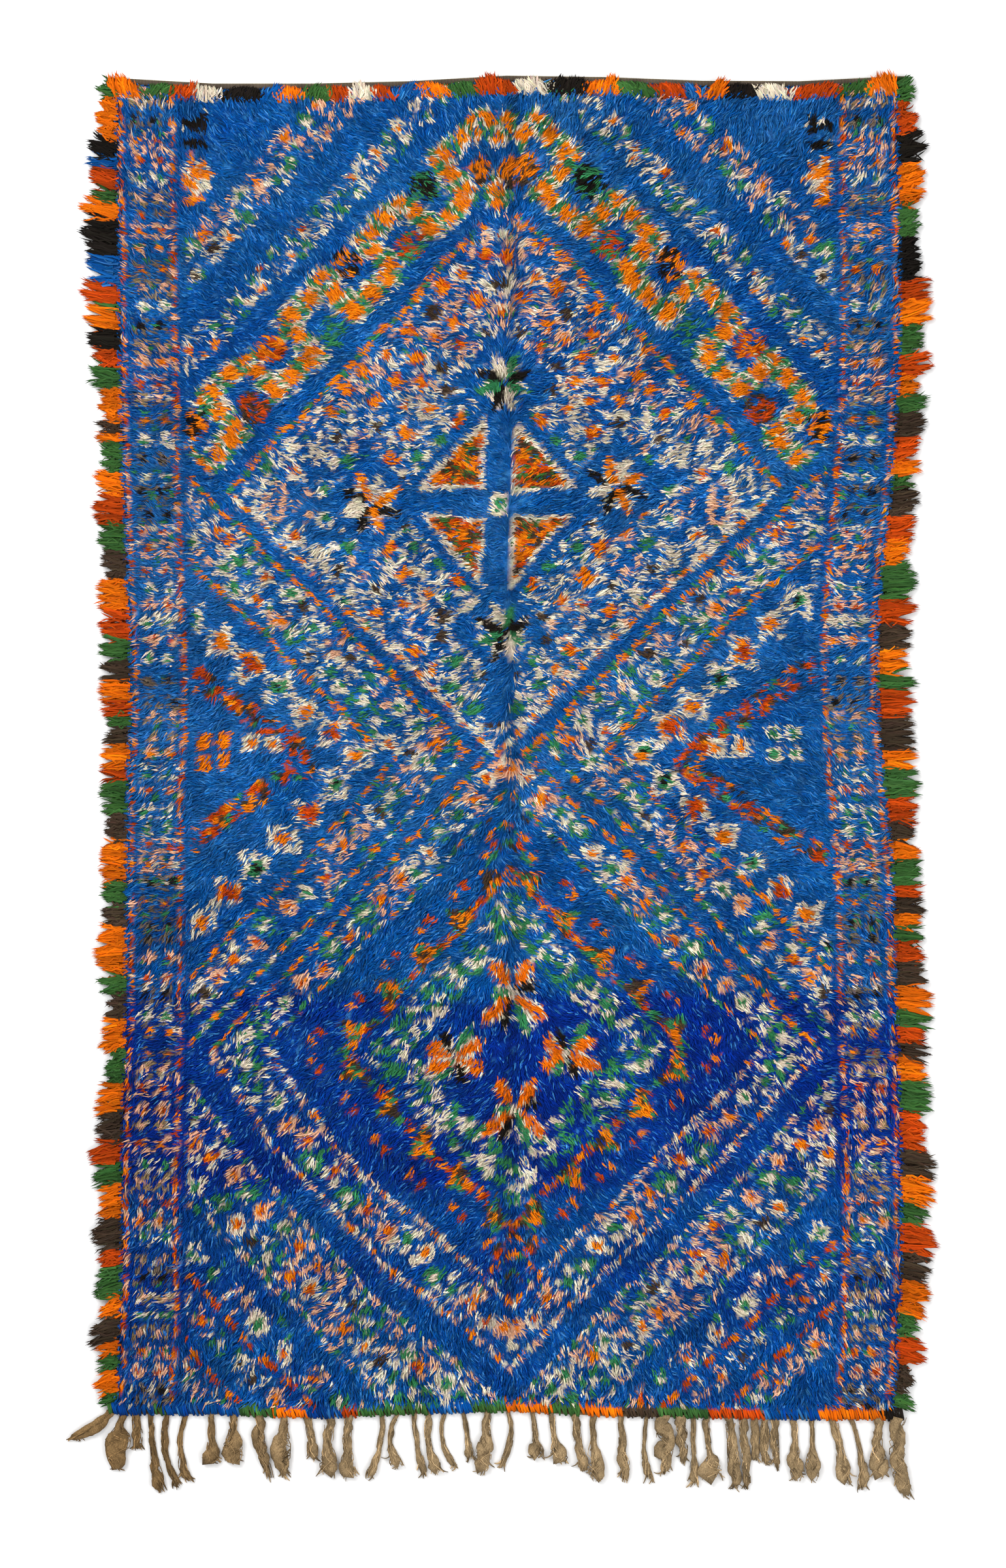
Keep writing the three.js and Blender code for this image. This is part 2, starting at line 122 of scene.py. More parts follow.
def pile_height(u, v):
    """Crown with soft lumps, less the parting and the creases, blended down to the rim."""
    x, y = field_point(u, v)
    side = np.minimum(x - along(LEFT, v), along(RIGHT, v) - x)
    end = np.minimum(y - along(BOTTOM, u), along(TOP, u) - y)
    rise = smooth_step(np.minimum(side, end), 0, RIM_REACH)
    swayed = x + LUMP_ACROSS * 0.6 * np.sin(y / LUMP_ALONG / 2)
    lump = np.sin(2 * swayed / LUMP_ACROSS) * np.sin(2 * y / LUMP_ALONG + x / LUMP_SWAY)
    middle = (along(LEFT, v) + along(RIGHT, v)) / 2
    crown = PILE_HEIGHT + LUMP_HEIGHT * lump - PARTING_DEPTH * bell(x - middle, PARTING_REACH)
    for crease_y, depth in CREASES:
        crown = crown - depth * bell(y - crease_y, CREASE_REACH)
    return RIM_HEIGHT + (crown - RIM_HEIGHT) * rise


print("Pile height at the middle in mm:", round(float(pile_height(np.array(0.5), np.array(0.5))), 1))

# %% [markdown]
# ## Seeded chance
# Wool is irregular at every scale, and the same irregularity has to come back on every run. Two
# helpers give it: smooth noise for what drifts slowly over the rug, and one fixed random number
# for each cell of a grid, for choices such as the colours of a flower.

# %% Noise helpers
NOISE_CELLS = 256
NOISE_TABLE = np.random.default_rng(11).uniform(-1, 1, (NOISE_CELLS, NOISE_CELLS))


def soft_noise(x, y, cell, seed):
    """Values from -1 to 1 at the corners of square cells, blended in between by an S-curve."""
    i, j = x / cell + 17.3 * seed, y / cell + 41.9 * seed
    i_low, j_low = np.floor(i).astype(int), np.floor(j).astype(int)
    i_part, j_part = smooth_step(i - i_low, 0, 1), smooth_step(j - j_low, 0, 1)

    def corner(i_step, j_step):
        return NOISE_TABLE[(i_low + i_step) % NOISE_CELLS, (j_low + j_step) % NOISE_CELLS]

    low = corner(0, 0) + (corner(1, 0) - corner(0, 0)) * i_part
    high = corner(0, 1) + (corner(1, 1) - corner(0, 1)) * i_part
    return low + (high - low) * j_part


def cell_chance(i, j, seed):
    """One number from 0 to 1 for each cell of a grid, always the same for the same cell."""
    rows = (np.asarray(i).astype(int) * 7 + seed * 31) % NOISE_CELLS
    columns = (np.asarray(j).astype(int) * 5 + seed * 17) % NOISE_CELLS
    return (NOISE_TABLE[rows, columns] + 1) / 2


print("Mean of the noise table:", round(float(NOISE_TABLE.mean()), 4))

# %% [markdown]
# ## The dyed yarns
# The knotter works from a basket of dyed yarns: a strong blue for the ground, and orange, rust,
# green, black, brown, cream and pink for the motifs. Each yarn is written as it looks on a screen
# and turned into linear light, which is what the renderer works with.

# %% Palette
YARNS = ("blue", "orange", "rust", "green", "black", "brown", "cream", "pink", "ultramarine",
         "sky", "taupe", "grey", "moss", "flame")
(BLUE, ORANGE, RUST, GREEN, BLACK, BROWN, CREAM, PINK, DEEP, SKY, TAUPE, GREY, MOSS,
 FLAME) = range(len(YARNS))
SCREEN_COLOURS = np.array([
    (2, 80, 151), (238, 122, 8), (188, 66, 8), (50, 125, 78), (26, 22, 18), (66, 52, 40),
    (222, 208, 184), (230, 172, 138), (0, 40, 134), (54, 122, 188), (146, 124, 92), (112, 98, 84),
    (56, 98, 46), (236, 109, 5),
]) / 255


def linear_light(screen):
    """Screen value to linear light: ((s + 0.055) / 1.055) ^ 2.4, or s / 12.92 near black."""
    return np.where(screen <= 0.04045, screen / 12.92, ((screen + 0.055) / 1.055) ** 2.4)


PALETTE = linear_light(SCREEN_COLOURS)
print("Dyed yarns:", len(PALETTE))

# %% [markdown]
# ## Flowers, dashed lines and stars
# The pattern is knotted from a few traditional elements that repeat: small flowers in rows, dashed
# lines that bound the rows, and stars with leaf-shaped points. Each is a rule on distances, in
# millimetres, so no picture is needed. Each rule colours the knots that it covers.

# %% Elements of the pattern
# Petals and heart of each kind of flower, for the bands, the interiors and the thin stripes.
FLOWERS = np.array([
    (CREAM, ORANGE), (CREAM, GREEN), (PINK, ORANGE), (PINK, BLUE),
    (CREAM, BROWN), (GREEN, CREAM), (CREAM, GREEN), (PINK, ORANGE),
])
PALE_FLOWERS = np.array([
    (CREAM, ORANGE), (CREAM, BLUE), (CREAM, ORANGE), (CREAM, GREEN), (PINK, ORANGE), (CREAM, BROWN),
    (PINK, BLUE), (CREAM, GREEN), (CREAM, ORANGE), (CREAM, CREAM),
])
WARM_FLOWERS = np.array([(CREAM, ORANGE), (PINK, ORANGE), (CREAM, BROWN), (PINK, ORANGE), (CREAM, ORANGE)])
GREEN_FLOWERS = np.array([(CREAM, ORANGE), (CREAM, GREEN), (GREEN, CREAM), (CREAM, BLUE)])
BORDER_FLOWERS = np.array([(PINK, ORANGE), (GREY, ORANGE), (CREAM, GREEN), (PINK, RUST), (TAUPE, PINK), (GREY, BLACK)])
FLOWER_DRIFT = 0.35
FLECK_SIZE = 11
KNOT_SIZE = 6


def knotted(run, out, share, seed):
    """True for a random share of the knots, so that blue shows between them."""
    return cell_chance(run // KNOT_SIZE, out // KNOT_SIZE, seed) < share


def sow_flowers(yarn, where, run, out, pitch, row_pitch, size, seed, kinds=FLOWERS, filled=0.63):
    """Flowers at equal pitches along rows, every other row shifted by half a pitch, each a little
    out of place and of its own size. Half of them have petals where |a| + |b| is small, the others
    have four petals apart, at the corners. The heart is where the larger of |a| and |b| is small.
    A few knots between the flowers are flecks."""
    row = np.floor(out / row_pitch)
    shifted = run + pitch * 0.5 * (row % 2)
    place = np.floor(shifted / pitch)
    chance = [cell_chance(row, place, seed + 20 * number) for number in range(4)]
    a = np.abs(shifted - (place + 0.5 + FLOWER_DRIFT * (chance[1] - 0.5)) * pitch)
    b = np.abs(out - (row + 0.5 + FLOWER_DRIFT * (chance[2] - 0.5)) * row_pitch)
    size = size * (0.75 + 0.5 * chance[3])
    kind = kinds[(chance[0] * len(kinds)).astype(int) % len(kinds)]
    fleck = cell_chance(run // FLECK_SIZE, out // FLECK_SIZE, seed + 7)
    dotted = where & (fleck < 0.08)
    yarn[dotted] = np.where(fleck < 0.05, CREAM, GREEN)[dotted]
    apart = (np.maximum(a, b) < 0.4 * size) & (np.minimum(a, b) > 0.1 * size)
    petals = where & np.where(chance[3] < 0.5, a + b < 0.5 * size, apart) & knotted(run, out, filled, seed + 9)
    heart = where & (np.maximum(a, b) < 0.15 * size)
    yarn[petals] = kind[petals, 0]
    yarn[heart] = kind[heart, 1]
    yarn[heart & (yarn == ORANGE) & knotted(run, out, 0.2, seed + 11)] = RUST


def dash(yarn, where, run, pitch, colours):
    """Dashes of equal length along a line, in the given colours by turns."""
    turn = np.floor(run / pitch).astype(int) % len(colours)
    yarn[where] = np.array(colours)[turn[where]]


def leaf(yarn, x, y, root, tip, fat, colour):
    """One leaf from its root to its tip: it widens over the first half and closes over the last
    fifth. Its rim is cream, with gaps."""
    reach = math.hypot(*tip)
    dx, dy = x - root[0], y - root[1]
    length = (dx * tip[0] + dy * tip[1]) / reach ** 2
    aside = np.abs(dx * tip[1] - dy * tip[0]) / reach
    width = fat * np.clip(np.minimum(length * 2, (1 - length) * 5), 0, 1)
    inside = aside < width
    yarn[inside] = colour
    yarn[inside & (aside > 0.7 * width) & knotted(x + 900, y + 1500, 0.7, 38)] = CREAM


def leaf_star(yarn, x, y, centre, reach, colours, turn, fat, edge=0.68):
    """Leaves round a centre: each as wide as a sine arch over its length, with a cream edge."""
    leaves = len(colours)
    far = np.hypot(x - centre[0], y - centre[1])
    part = (np.arctan2(y - centre[1], x - centre[0]) - turn) / (2 * math.pi / leaves)
    leaf = np.round(part).astype(int) % leaves
    off = (part - np.round(part)) * (2 * math.pi / leaves)
    length, aside = far * np.cos(off) / reach, far * np.abs(np.sin(off)) / reach
    width = fat * np.sin(math.pi * np.clip(length, 0, 1)) ** 0.7
    inside = (length > 0.08) & (length < 1) & (aside < width)
    yarn[inside] = np.array(colours)[leaf][inside]
    yarn[inside & (aside > edge * width)] = CREAM


def rosette(yarn, where, a, b, size, kind, rough):
    """Large flower with four broad petals and a rough outline: green heart in cream, or orange with
    a cream rim, or orange heart in cream, by turns."""
    far, turn = np.hypot(a, b) * (1 + 0.3 * rough), np.arctan2(b, a)
    petals = where & (far < size * (0.46 + 0.1 * np.cos(4 * turn))) & knotted(a + 900, b + 900, 0.7, 12)
    yarn[petals] = np.where((kind == 1) & (far < 0.33 * size), ORANGE, CREAM)[petals]
    heart = where & (far < 0.21 * size)
    yarn[heart] = np.select([kind == 0, kind == 1], [GREEN, RUST], ORANGE)[heart]
    yarn[where & (far < 0.1 * size) & (kind == 0)] = BLACK


print("Kinds of flower:", len(FLOWERS))

# %% [markdown]
# ## Arms and lozenges
# Most lines of the pattern run on the diagonal. Two measures are enough for them: how far a knot
# is along and across an arm that falls from an apex on both sides of the middle, and how far it is
# from the centre of a lozenge, where 1 is the lozenge's own outline.

# %% Measures on the diagonal


def arms(x, y, apex, slope):
    """Distances along and across the two arms y = apex - slope |x|, across positive above them."""
    reach = math.hypot(1, slope)
    fall = y - apex
    return (np.abs(x) - slope * fall) / reach, (slope * np.abs(x) + fall) / reach


def lozenge(x, y, half_width, half_height):
    """|x| / half width + |y| / half height, and the distance along the lozenge's sides."""
    ring = np.abs(x) / half_width + np.abs(y) / half_height
    side = math.hypot(half_width, half_height)
    return ring, (np.abs(x) * half_width - np.abs(y) * half_height) / side


print("Ring number at a lozenge's corner:", float(lozenge(np.array(2.0), np.array(0.0), 2, 3)[0]))

# %% [markdown]
# ## The upper end: key chain and flower stripes
# From a double peak at the middle of the heading, a chain of orange dots steps down both sides in
# square turns, like a key pattern. Two flower stripes run outside it, and the corners hold a bow
# and a star. The square turns are a square wave: runs at both sides of an axis, joined by straight
# crossings. Measuring along that wave places the dots evenly round its corners.

# %% Upper end
CHAIN_APEX = 1343
CHAIN_SLOPE = 1.04
CHAIN_PEAK = 45
CHAIN_PERIOD = 241
CHAIN_FIRST_OUTER = 225
CHAIN_REACH = 48
CHAIN_HALF = 34
CHAIN_DOT_PITCH = 48
# Bays on the outer and inner side: shift in turns, distance from the axis, colours of each spot.
BAYS = ((0.0, 34, ((BLACK, GREEN), (ORANGE, BLACK), (RUST, ORANGE), (ORANGE, BLACK))),
        (0.5, -38, ((ORANGE, BROWN), (RUST, GREEN), (GREEN, BLUE), (RUST, BROWN))))
BAY_SPOT = 34
STRIPE_OUTER = (283, 43)
STRIPE_INNER = (145, 31)
INNER_BORDER = -118
# Half the width of a thin line, the blue left free beside it, and its colours by turns.
LINE_HALF = 5
LINE_MARGIN = 7
LINE_COLOURS = (ORANGE, GREEN, ORANGE)


def key_chain(run, out):
    """Distance to a square wave and the length along it: runs at +reach and -reach by turns."""
    half = CHAIN_PERIOD / 2
    phase = (run - CHAIN_FIRST_OUTER + half / 2) % CHAIN_PERIOD
    upper = np.maximum(np.abs(phase - half * 1.5) - half / 2, 0)
    lower = np.maximum(np.abs(phase - half * 0.5) - half / 2, 0)
    tall = np.maximum(np.abs(out) - CHAIN_REACH, 0)
    crossing = np.minimum(np.abs(phase - half), np.minimum(phase, CHAIN_PERIOD - phase))
    to_runs = np.minimum(np.hypot(upper, out - CHAIN_REACH), np.hypot(lower, out + CHAIN_REACH))
    to_crossing = np.hypot(crossing, tall)
    on_crossing = to_crossing < to_runs
    return np.minimum(to_runs, to_crossing), np.where(on_crossing, out + half / 2, phase)


def upper_end(yarn, x, y, where):
    peaked = np.where(np.abs(x + 20) < CHAIN_PEAK, 2 * CHAIN_PEAK - np.abs(x + 20), np.abs(x))
    run, out = arms(peaked, y, CHAIN_APEX, CHAIN_SLOPE)
    for (middle, half), pitch, row, size, seed, kinds in (
            (STRIPE_OUTER, 52, 43, 60, 1, FLOWERS), (STRIPE_INNER, 40, 31, 46, 2, GREEN_FLOWERS)):
        stripe = where & (np.abs(out - middle) < half)
        filled = 0.68 if half > 40 else 0.58
        sow_flowers(yarn, stripe, run, out - middle + half, pitch, row, size, seed, kinds, filled)
    aside, length = key_chain(run, out)
    chain = where & (aside < CHAIN_HALF)
    beat = np.abs(length % CHAIN_DOT_PITCH - CHAIN_DOT_PITCH / 2)
    yarn[chain & (aside < 29) & knotted(run, out, 0.52, 31)] = CREAM
    yarn[chain & (aside < 25) & (beat > 12) & knotted(run, out, 0.85, 30)] = GREEN
    yarn[chain & (aside < 19) & (beat > 12) & knotted(run, out, 0.3, 32)] = CREAM
    yarn[chain & (aside < 17) & (beat < 15)] = ORANGE
    for shift, offset, hues in BAYS:
        place = (run - CHAIN_FIRST_OUTER) / CHAIN_PERIOD + shift
        number = np.clip(np.round(place), 0, len(hues) - 1).astype(int)
        a = np.abs(place - number) * CHAIN_PERIOD
        spot = np.hypot(a, out - offset)
        spots = np.array(hues)[number]
        blob = where & (spot < BAY_SPOT) & knotted(run, out, 0.85, 33)
        flecked = np.where(cell_chance(run // 11, out // 11, 8) < 0.55, spots[..., 0], spots[..., 1])
        yarn[blob] = flecked[blob]
    dash(yarn, where & (np.abs(out - INNER_BORDER) < LINE_HALF), run, 17, LINE_COLOURS)


print("Length of one turn of the key chain in mm:", 2 * CHAIN_PERIOD / 2 + 4 * CHAIN_REACH)

# %% [markdown]
# ## The upper lozenge: flower rows round a cross
# Inside the key chain, rows of flowers and dashed lines lie in lozenges round a blue cross. Four
# triangles with a cream outline stand in the arms of the cross, and a star with eight leaves stands
# beyond each arm.

# %% Upper lozenge
CROSS = (-20, 519)
CROSS_GAP = (32, 28)
TRIANGLE_LEGS = (146, 158)
TRIANGLE_EDGE = 8
FLOWER_ROW = 54
WARM_ABOVE = 760
STAR_REACH = 70
STAR_FIELD = 116
STARS = (((-14, 782), 1), ((-8, 240), 1), ((-300, 522), 0), ((243, 558), 0))
STAR_LEAVES = ((ORANGE, CREAM, ORANGE, BLACK, CREAM, BLACK, ORANGE, BLACK),
               (BLACK, GREEN, CREAM, BLACK, GREEN, BLACK, CREAM, GREEN))


def upper_lozenge(yarn, x, y, where):
    a, b = np.abs(x - CROSS[0]), np.abs(y - CROSS[1])
    deep, length = (a + b) / math.sqrt(2), (a - b) / math.sqrt(2)
    rows = where & (deep > 2 * FLOWER_ROW)
    for part, kinds in ((y < WARM_ABOVE, PALE_FLOWERS), (y >= WARM_ABOVE, WARM_FLOWERS)):
        sow_flowers(yarn, rows & part, length + 900, deep, 60, FLOWER_ROW, 76, 3, kinds, 0.58)
    bar = (a < CROSS_GAP[0]) & (y > 43) & (y < 880) | (b < CROSS_GAP[1]) & (a < 205)
    yarn[where & bar] = BLUE
    for centre, kind in STARS:
        field = np.abs(x - centre[0]) + np.abs(y - centre[1])
        yarn[where & (field < STAR_FIELD)] = BLUE
        leaf_star(yarn, x, y, centre, STAR_REACH, STAR_LEAVES[kind], 0.39, 0.2, 0.75)
    in_a, in_b = a - CROSS_GAP[0], b - CROSS_GAP[1]
    slant = 1 - in_a / TRIANGLE_LEGS[0] - in_b / TRIANGLE_LEGS[1]
    corner = where & (in_a > 0) & (in_b > 0)
    yarn[corner & (slant > -0.22)] = BLUE
    triangle = corner & (slant > 0)
    fill = cell_chance(x // 10, y // 10, 4)
    mixed = np.select([fill < 0.36, fill < 0.6, fill < 0.78], [ORANGE, RUST, MOSS], BROWN)
    yarn[triangle] = mixed[triangle]
    edge = np.minimum(np.minimum(in_a, in_b), slant * 95)
    yarn[triangle & (edge < TRIANGLE_EDGE)] = CREAM
    heart = np.maximum(a, b)
    yarn[where & (heart < 20)] = CREAM
    yarn[where & (heart < 11)] = GREEN


print("Stars round the cross:", len(STARS))

# %% [markdown]
# ## The side triangles
# Between the two lozenges, a triangle opens to each side. Its upper edge has a flower band between
# two dashed lines and then a row of rosettes. A stepped rust line lies inside, pointing to the
# middle, with four dots near the side.

# %% Side triangles
SIDE_SLOPE = 0.95
SIDE_START = (297, -17)
# The two lines of the flower band and the middle of the rosettes, on the left and on the right.
BAND_LINES = ((149, 17), (167, 55))
BAND_GAP = 36
ROSETTES_AT = (-18, -13)
ROSETTE_TILT = (-0.11, 0.01)
ROSETTE_PITCH = 80
ROSETTE_SIZE = 74
# Tip of the arrow on the left and right, its middle and slope, where it ends and half its width.
ARROW_TIPS = (437, 391)
ARROW_MIDDLE = -32
ARROW_SLOPE = 0.68
ARROW_END = 700
ARROW_HALF = 24
# Middle of the four dots on the left and right, and half the distance between them.
DOTS = ((653, 619), (-16, 5), 23)
PAIR = ((545, 501), -4, 25)


def side_measures(x, y):
    """Distances along and above the slanting line of rosettes, the same on both sides."""
    reach = math.hypot(1, SIDE_SLOPE)
    a, b = np.abs(x) - SIDE_START[0], y - SIDE_START[1]
    return (a + SIDE_SLOPE * b) / reach, (b - SIDE_SLOPE * a) / reach


def side_value(x, pair):
    return np.where(x < 0, *pair)


def side_triangles(yarn, x, y, where):
    run, up = side_measures(x, y)
    outer, inner = (side_value(x, pair) for pair in zip(*BAND_LINES))
    for line in (outer, inner):
        dash(yarn, where & (np.abs(up - line) < LINE_HALF), run + 900, 17, LINE_COLOURS)
    start = inner + LINE_HALF + LINE_MARGIN
    band = where & (up > start) & (up < outer - LINE_HALF - LINE_MARGIN)
    sow_flowers(yarn, band, run + 900, up - start, 51, side_value(x, (54, 45)), 66, 5, FLOWERS, 0.72)
    place = np.floor((run + 30) / ROSETTE_PITCH)
    off = up - side_value(x, ROSETTES_AT) - side_value(x, ROSETTE_TILT) * run
    along_row = run + 30 - (place + 0.5) * ROSETTE_PITCH
    rosette(yarn, where & (run > -40), along_row, off, ROSETTE_SIZE, place % 3, soft_noise(x, y, 19, 61))


def side_marks(yarn, x, y):
    a, b = np.abs(x) - side_value(x, ARROW_TIPS), np.abs(y - ARROW_MIDDLE)
    line = np.abs(b - ARROW_SLOPE * a) * 0.83
    fleck = cell_chance(x // 13 + 90, y // 13 + 200, 33)
    where = (line < ARROW_HALF) & (a > -16) & (np.abs(x) < ARROW_END) & (fleck < 0.57)
    mixed = np.select([fleck < 0.26, fleck < 0.4, fleck < 0.53], [RUST, ORANGE, BROWN], GREEN)
    yarn[where] = mixed[where]
    near_x = np.abs(np.abs(np.abs(x) - side_value(x, DOTS[0])) - DOTS[2])
    near_y = np.abs(np.abs(y - side_value(x, DOTS[1])) - DOTS[2])
    dot = np.maximum(near_x, near_y)
    yarn[dot < 16] = np.where(x < 0, ORANGE, CREAM)[dot < 16]
    yarn[dot < 9] = np.where(x < 0, ORANGE, GREEN)[dot < 9]
    pair = np.maximum(np.abs(np.abs(np.abs(x) - side_value(x, PAIR[0])) - PAIR[2]), np.abs(y - PAIR[1]))
    yarn[pair < 18] = CREAM
    yarn[pair < 9] = ORANGE


print("Rosettes along one slope:", round(600 / ROSETTE_PITCH))

# %% [markdown]
# ## The lower lozenge: rings of flowers, hooks and crossed stars
# The lower half is one great lozenge. Outside its outline, bands of flowers and plain blue stripes
# follow each other. Inside are a ring of hooked triangles, a crenellated line in white and green,
# and four crossed stars on a deep blue ground.

# %% Lower lozenge
LOWER_CENTRE = (7, -654)
LOWER_HALF = (539, 553)
RING_MM = LOWER_HALF[0] * LOWER_HALF[1] / math.hypot(*LOWER_HALF)
HOOK_RING = 0.71
HOOK_PITCH = 110
HOOK_SIZE = 62
BATTLEMENT = (0.43, 0.62)
# Tips of the four orange arms and the four smaller leaves of a tall and of a flat crossed star.
TALL_STAR = (((-50, -4), GREEN), ((60, 16), BLACK), ((-32, -76), BLACK), ((30, -86), GREEN),
             ((-46, 68), FLAME), ((46, 68), FLAME), ((-76, -58), FLAME), ((70, -58), FLAME))
FLAT_STAR = (((-26, 62), BLACK), ((40, 74), GREEN), ((-34, -56), GREEN), ((22, -62), BLACK),
             ((-62, 30), FLAME), ((64, 34), FLAME), ((-64, -32), FLAME), ((70, -35), FLAME))
CROSSED_STARS = (((3, -536), TALL_STAR), ((-127, -670), FLAT_STAR), ((122, -667), FLAT_STAR),
                 ((5, -785), TALL_STAR))
ARM_FAT = 17
LEAF_FAT = 13
LOW_LINES = ((1.01, 1.0), (1.23, 1.24), (1.34, 1.40), (1.59, 1.74))
LOW_MARGIN = (LINE_HALF + LINE_MARGIN) / RING_MM
HOOK_START = 1100 + HOOK_PITCH / 2
# Ring number and shift of the rosettes above, on the left and right, and their pitch.
LOW_ROSETTES = ((1.76, 1.70), (13, 47), 82)


def lower_measures(x, y):
    """Ring number and distance along the sides; the lower left quarter is drawn a little wider."""
    dx, dy = x - LOWER_CENTRE[0], y - LOWER_CENTRE[1]
    ring, run = lozenge(dx, dy, *LOWER_HALF)
    wide = np.clip(-dx / 280, 0, 1) * np.clip(-dy / 210, 0, 1)
    return ring * (1 - 0.075 * wide), run, dx, dy


def lower_bands(yarn, x, y, where):
    ring, run, dx, dy = lower_measures(x, y)
    low = dy < 0
    lines = [np.where(low, below, above) for above, below in LOW_LINES]
    for number, line in enumerate(lines):
        on_line = where & (np.abs(ring - line) * RING_MM < LINE_HALF) & knotted(run + 1200, x + 900, 0.8, 39)
        dash(yarn, on_line & ~low, run + 1200, 18, LINE_COLOURS if number % 2 else (GREEN, ORANGE, GREEN, CREAM))
        dash(yarn, on_line & low, run + 1200, 18, (CREAM, ORANGE, CREAM, PINK) if number < 2 else (CREAM, GREEN, PINK))
    for first, last, pitch, seed in ((0, 1, 50, 7), (2, 3, 54, 9)):
        start, end = lines[first] + LOW_MARGIN, lines[last] - LOW_MARGIN
        rows = np.maximum(np.round((end - start) * RING_MM / 50), 1)
        band = where & (ring > start) & (ring < end)
        sow_flowers(yarn, band, run + 1200, (ring - start) * RING_MM, pitch, (end - start) * RING_MM / rows, 66, seed,
                    FLOWERS, 0.8)
    shifted = run + side_value(dx, LOW_ROSETTES[1])
    place = np.floor(shifted / LOW_ROSETTES[2])
    off = (ring - side_value(dx, LOW_ROSETTES[0])) * RING_MM
    along_row = shifted - (place + 0.5) * LOW_ROSETTES[2]
    rosette(yarn, where & ~low, along_row, off, ROSETTE_SIZE - 4, (place + 2) % 3, soft_noise(x, y, 19, 61))
    for centre, half, pitch, size, seed in ((1.90, 30, 74, 56, 12), (2.11, 26, 58, 52, 13),
                                            (2.36, 26, 62, 52, 14)):
        out = (ring - centre) * RING_MM
        row = where & low & (np.abs(out) < half)
        sow_flowers(yarn, row, run + 1200, out + half, pitch, 2 * half, size, seed)
    for line in (2.01, 2.26):
        on_line = where & low & (np.abs(ring - line) * RING_MM < 6)
        dash(yarn, on_line, run + 1200, 20, (ORANGE, BLUE, RUST))


def lower_heart(yarn, x, y):
    ring, run, dx, dy = lower_measures(x, y)
    inside = ring < 0.985
    yarn[inside] = BLUE
    across = (ring - HOOK_RING) * RING_MM
    link = inside & (np.abs(across + 6) < 9) & knotted(run + 1200, across + 900, 0.75, 40)
    dash(yarn, link, run + 1200, 19, (RUST, GREEN, BROWN, RUST, ORANGE))
    centre_run = (np.floor((run + HOOK_START) / HOOK_PITCH) + 0.5) * HOOK_PITCH - HOOK_START
    half_wide, half_tall = LOWER_HALF
    hook_x = ((centre_run * math.hypot(*LOWER_HALF) + HOOK_RING * half_tall ** 2)
              / (half_wide + half_tall ** 2 / half_wide))
    hook_y = half_tall * (HOOK_RING - hook_x / half_wide)
    a, b = np.abs(np.abs(dx) - hook_x), np.abs(dy) - hook_y + HOOK_SIZE / 2
    hook = inside & (b > 0) & (b < HOOK_SIZE) & (a < 4 + 0.44 * b)
    fleck = cell_chance(x // 11 + 90, y // 11 + 200, 36)
    yarn[hook] = np.select([fleck < 0.44, fleck < 0.72], [ORANGE, GREEN], BROWN)[hook]
    b = (run + HOOK_START + HOOK_PITCH / 2) % HOOK_PITCH - HOOK_PITCH / 2
    pair = inside & (np.abs((ring - 0.84) * RING_MM) < 9) & (np.abs(np.abs(b) - 15) < 7)
    yarn[pair] = np.where(b > 0, ORANGE, RUST)[pair]
    patch = cell_chance(x // 19 + 90, y // 13 + 200, 34)
    cloud = inside & (ring > BATTLEMENT[0]) & (ring < BATTLEMENT[1]) & (patch < 0.66) & knotted(x + 900, y + 1500, 0.85, 35)
    yarn[cloud] = np.where(patch < 0.37, GREEN, CREAM)[cloud]
    for centre, tips in CROSSED_STARS:
        for tip, colour in tips:
            leaf(yarn, x, y, centre, tip, ARM_FAT if colour == FLAME else LEAF_FAT, colour)
        yarn[np.hypot(x - centre[0], y - centre[1]) < 11] = CREAM
    for low_y, high_y in ((-312, -160), (-1165, -1030)):
        branch = (np.abs(dx) < 58) & (y > low_y) & (y < high_y)
        slant = (y + 0.8 * np.abs(dx)) % 44
        twig = branch & (slant < 13) & (np.abs(dx) % 30 < 21)
        dash(yarn, twig, np.abs(dx) + y // 44 * 30 + 3000, 30, (ORANGE, BROWN, GREEN))


print("Millimetres to one ring number:", round(RING_MM))

# %% [markdown]
# ## Borders, and the whole chart
# Down each side run two columns of small flowers between thin lines. With these the chart is whole:
# one function tells the yarn for every knot. The design follows the wandering sides, so x is first
# scaled to a straight half-width.

# %% The chart
DESIGN_HALF = 838
WANDER = ((8, 150), (5, 44))
BORDER_LINES = ((720, (PINK, ORANGE, RUST)), (828, (ORANGE, PINK, RUST)))
BORDER_COLUMNS = (748, 791)
BORDER_GAP = 24
BOW = (677, 1333)
CORNER_STAR = (677, 1222)


def corner_marks(yarn, x, y):
    a, b = np.abs(np.abs(x) - BOW[0]), y - BOW[1]
    bow = (a < 36) & (np.abs(b) < 7 + 0.5 * a)
    bar = (a < 30) & (np.abs(b + 42) < 9)
    yarn[bow | bar] = BLACK
    yarn[(bow | bar) & (cell_chance(x // 9, y // 9, 15) < 0.1)] = CREAM
    leaf_star(yarn, np.abs(x), y, CORNER_STAR, 46, (ORANGE, CREAM, ORANGE, ORANGE) * 2, 0.0, 0.24, 0.6)
    yarn[(a < 18) & (np.abs(y - 1172) < 9)] = ORANGE


def side_borders(yarn, x, y):
    s = np.abs(x)
    border = s > BORDER_LINES[0][0] - BORDER_GAP
    yarn[border] = BLUE
    for middle in BORDER_COLUMNS:
        column = border & (np.abs(s - middle) < 21)
        sow_flowers(yarn, column, y + 2000, s - middle + 21, 40, 42, 42, 16, BORDER_FLOWERS, 0.7)
    for line, colours in BORDER_LINES:
        dash(yarn, (np.abs(s - line) < 4.5) & knotted(y + 2000, s, 0.75, 37), y + 2000, 17, colours)


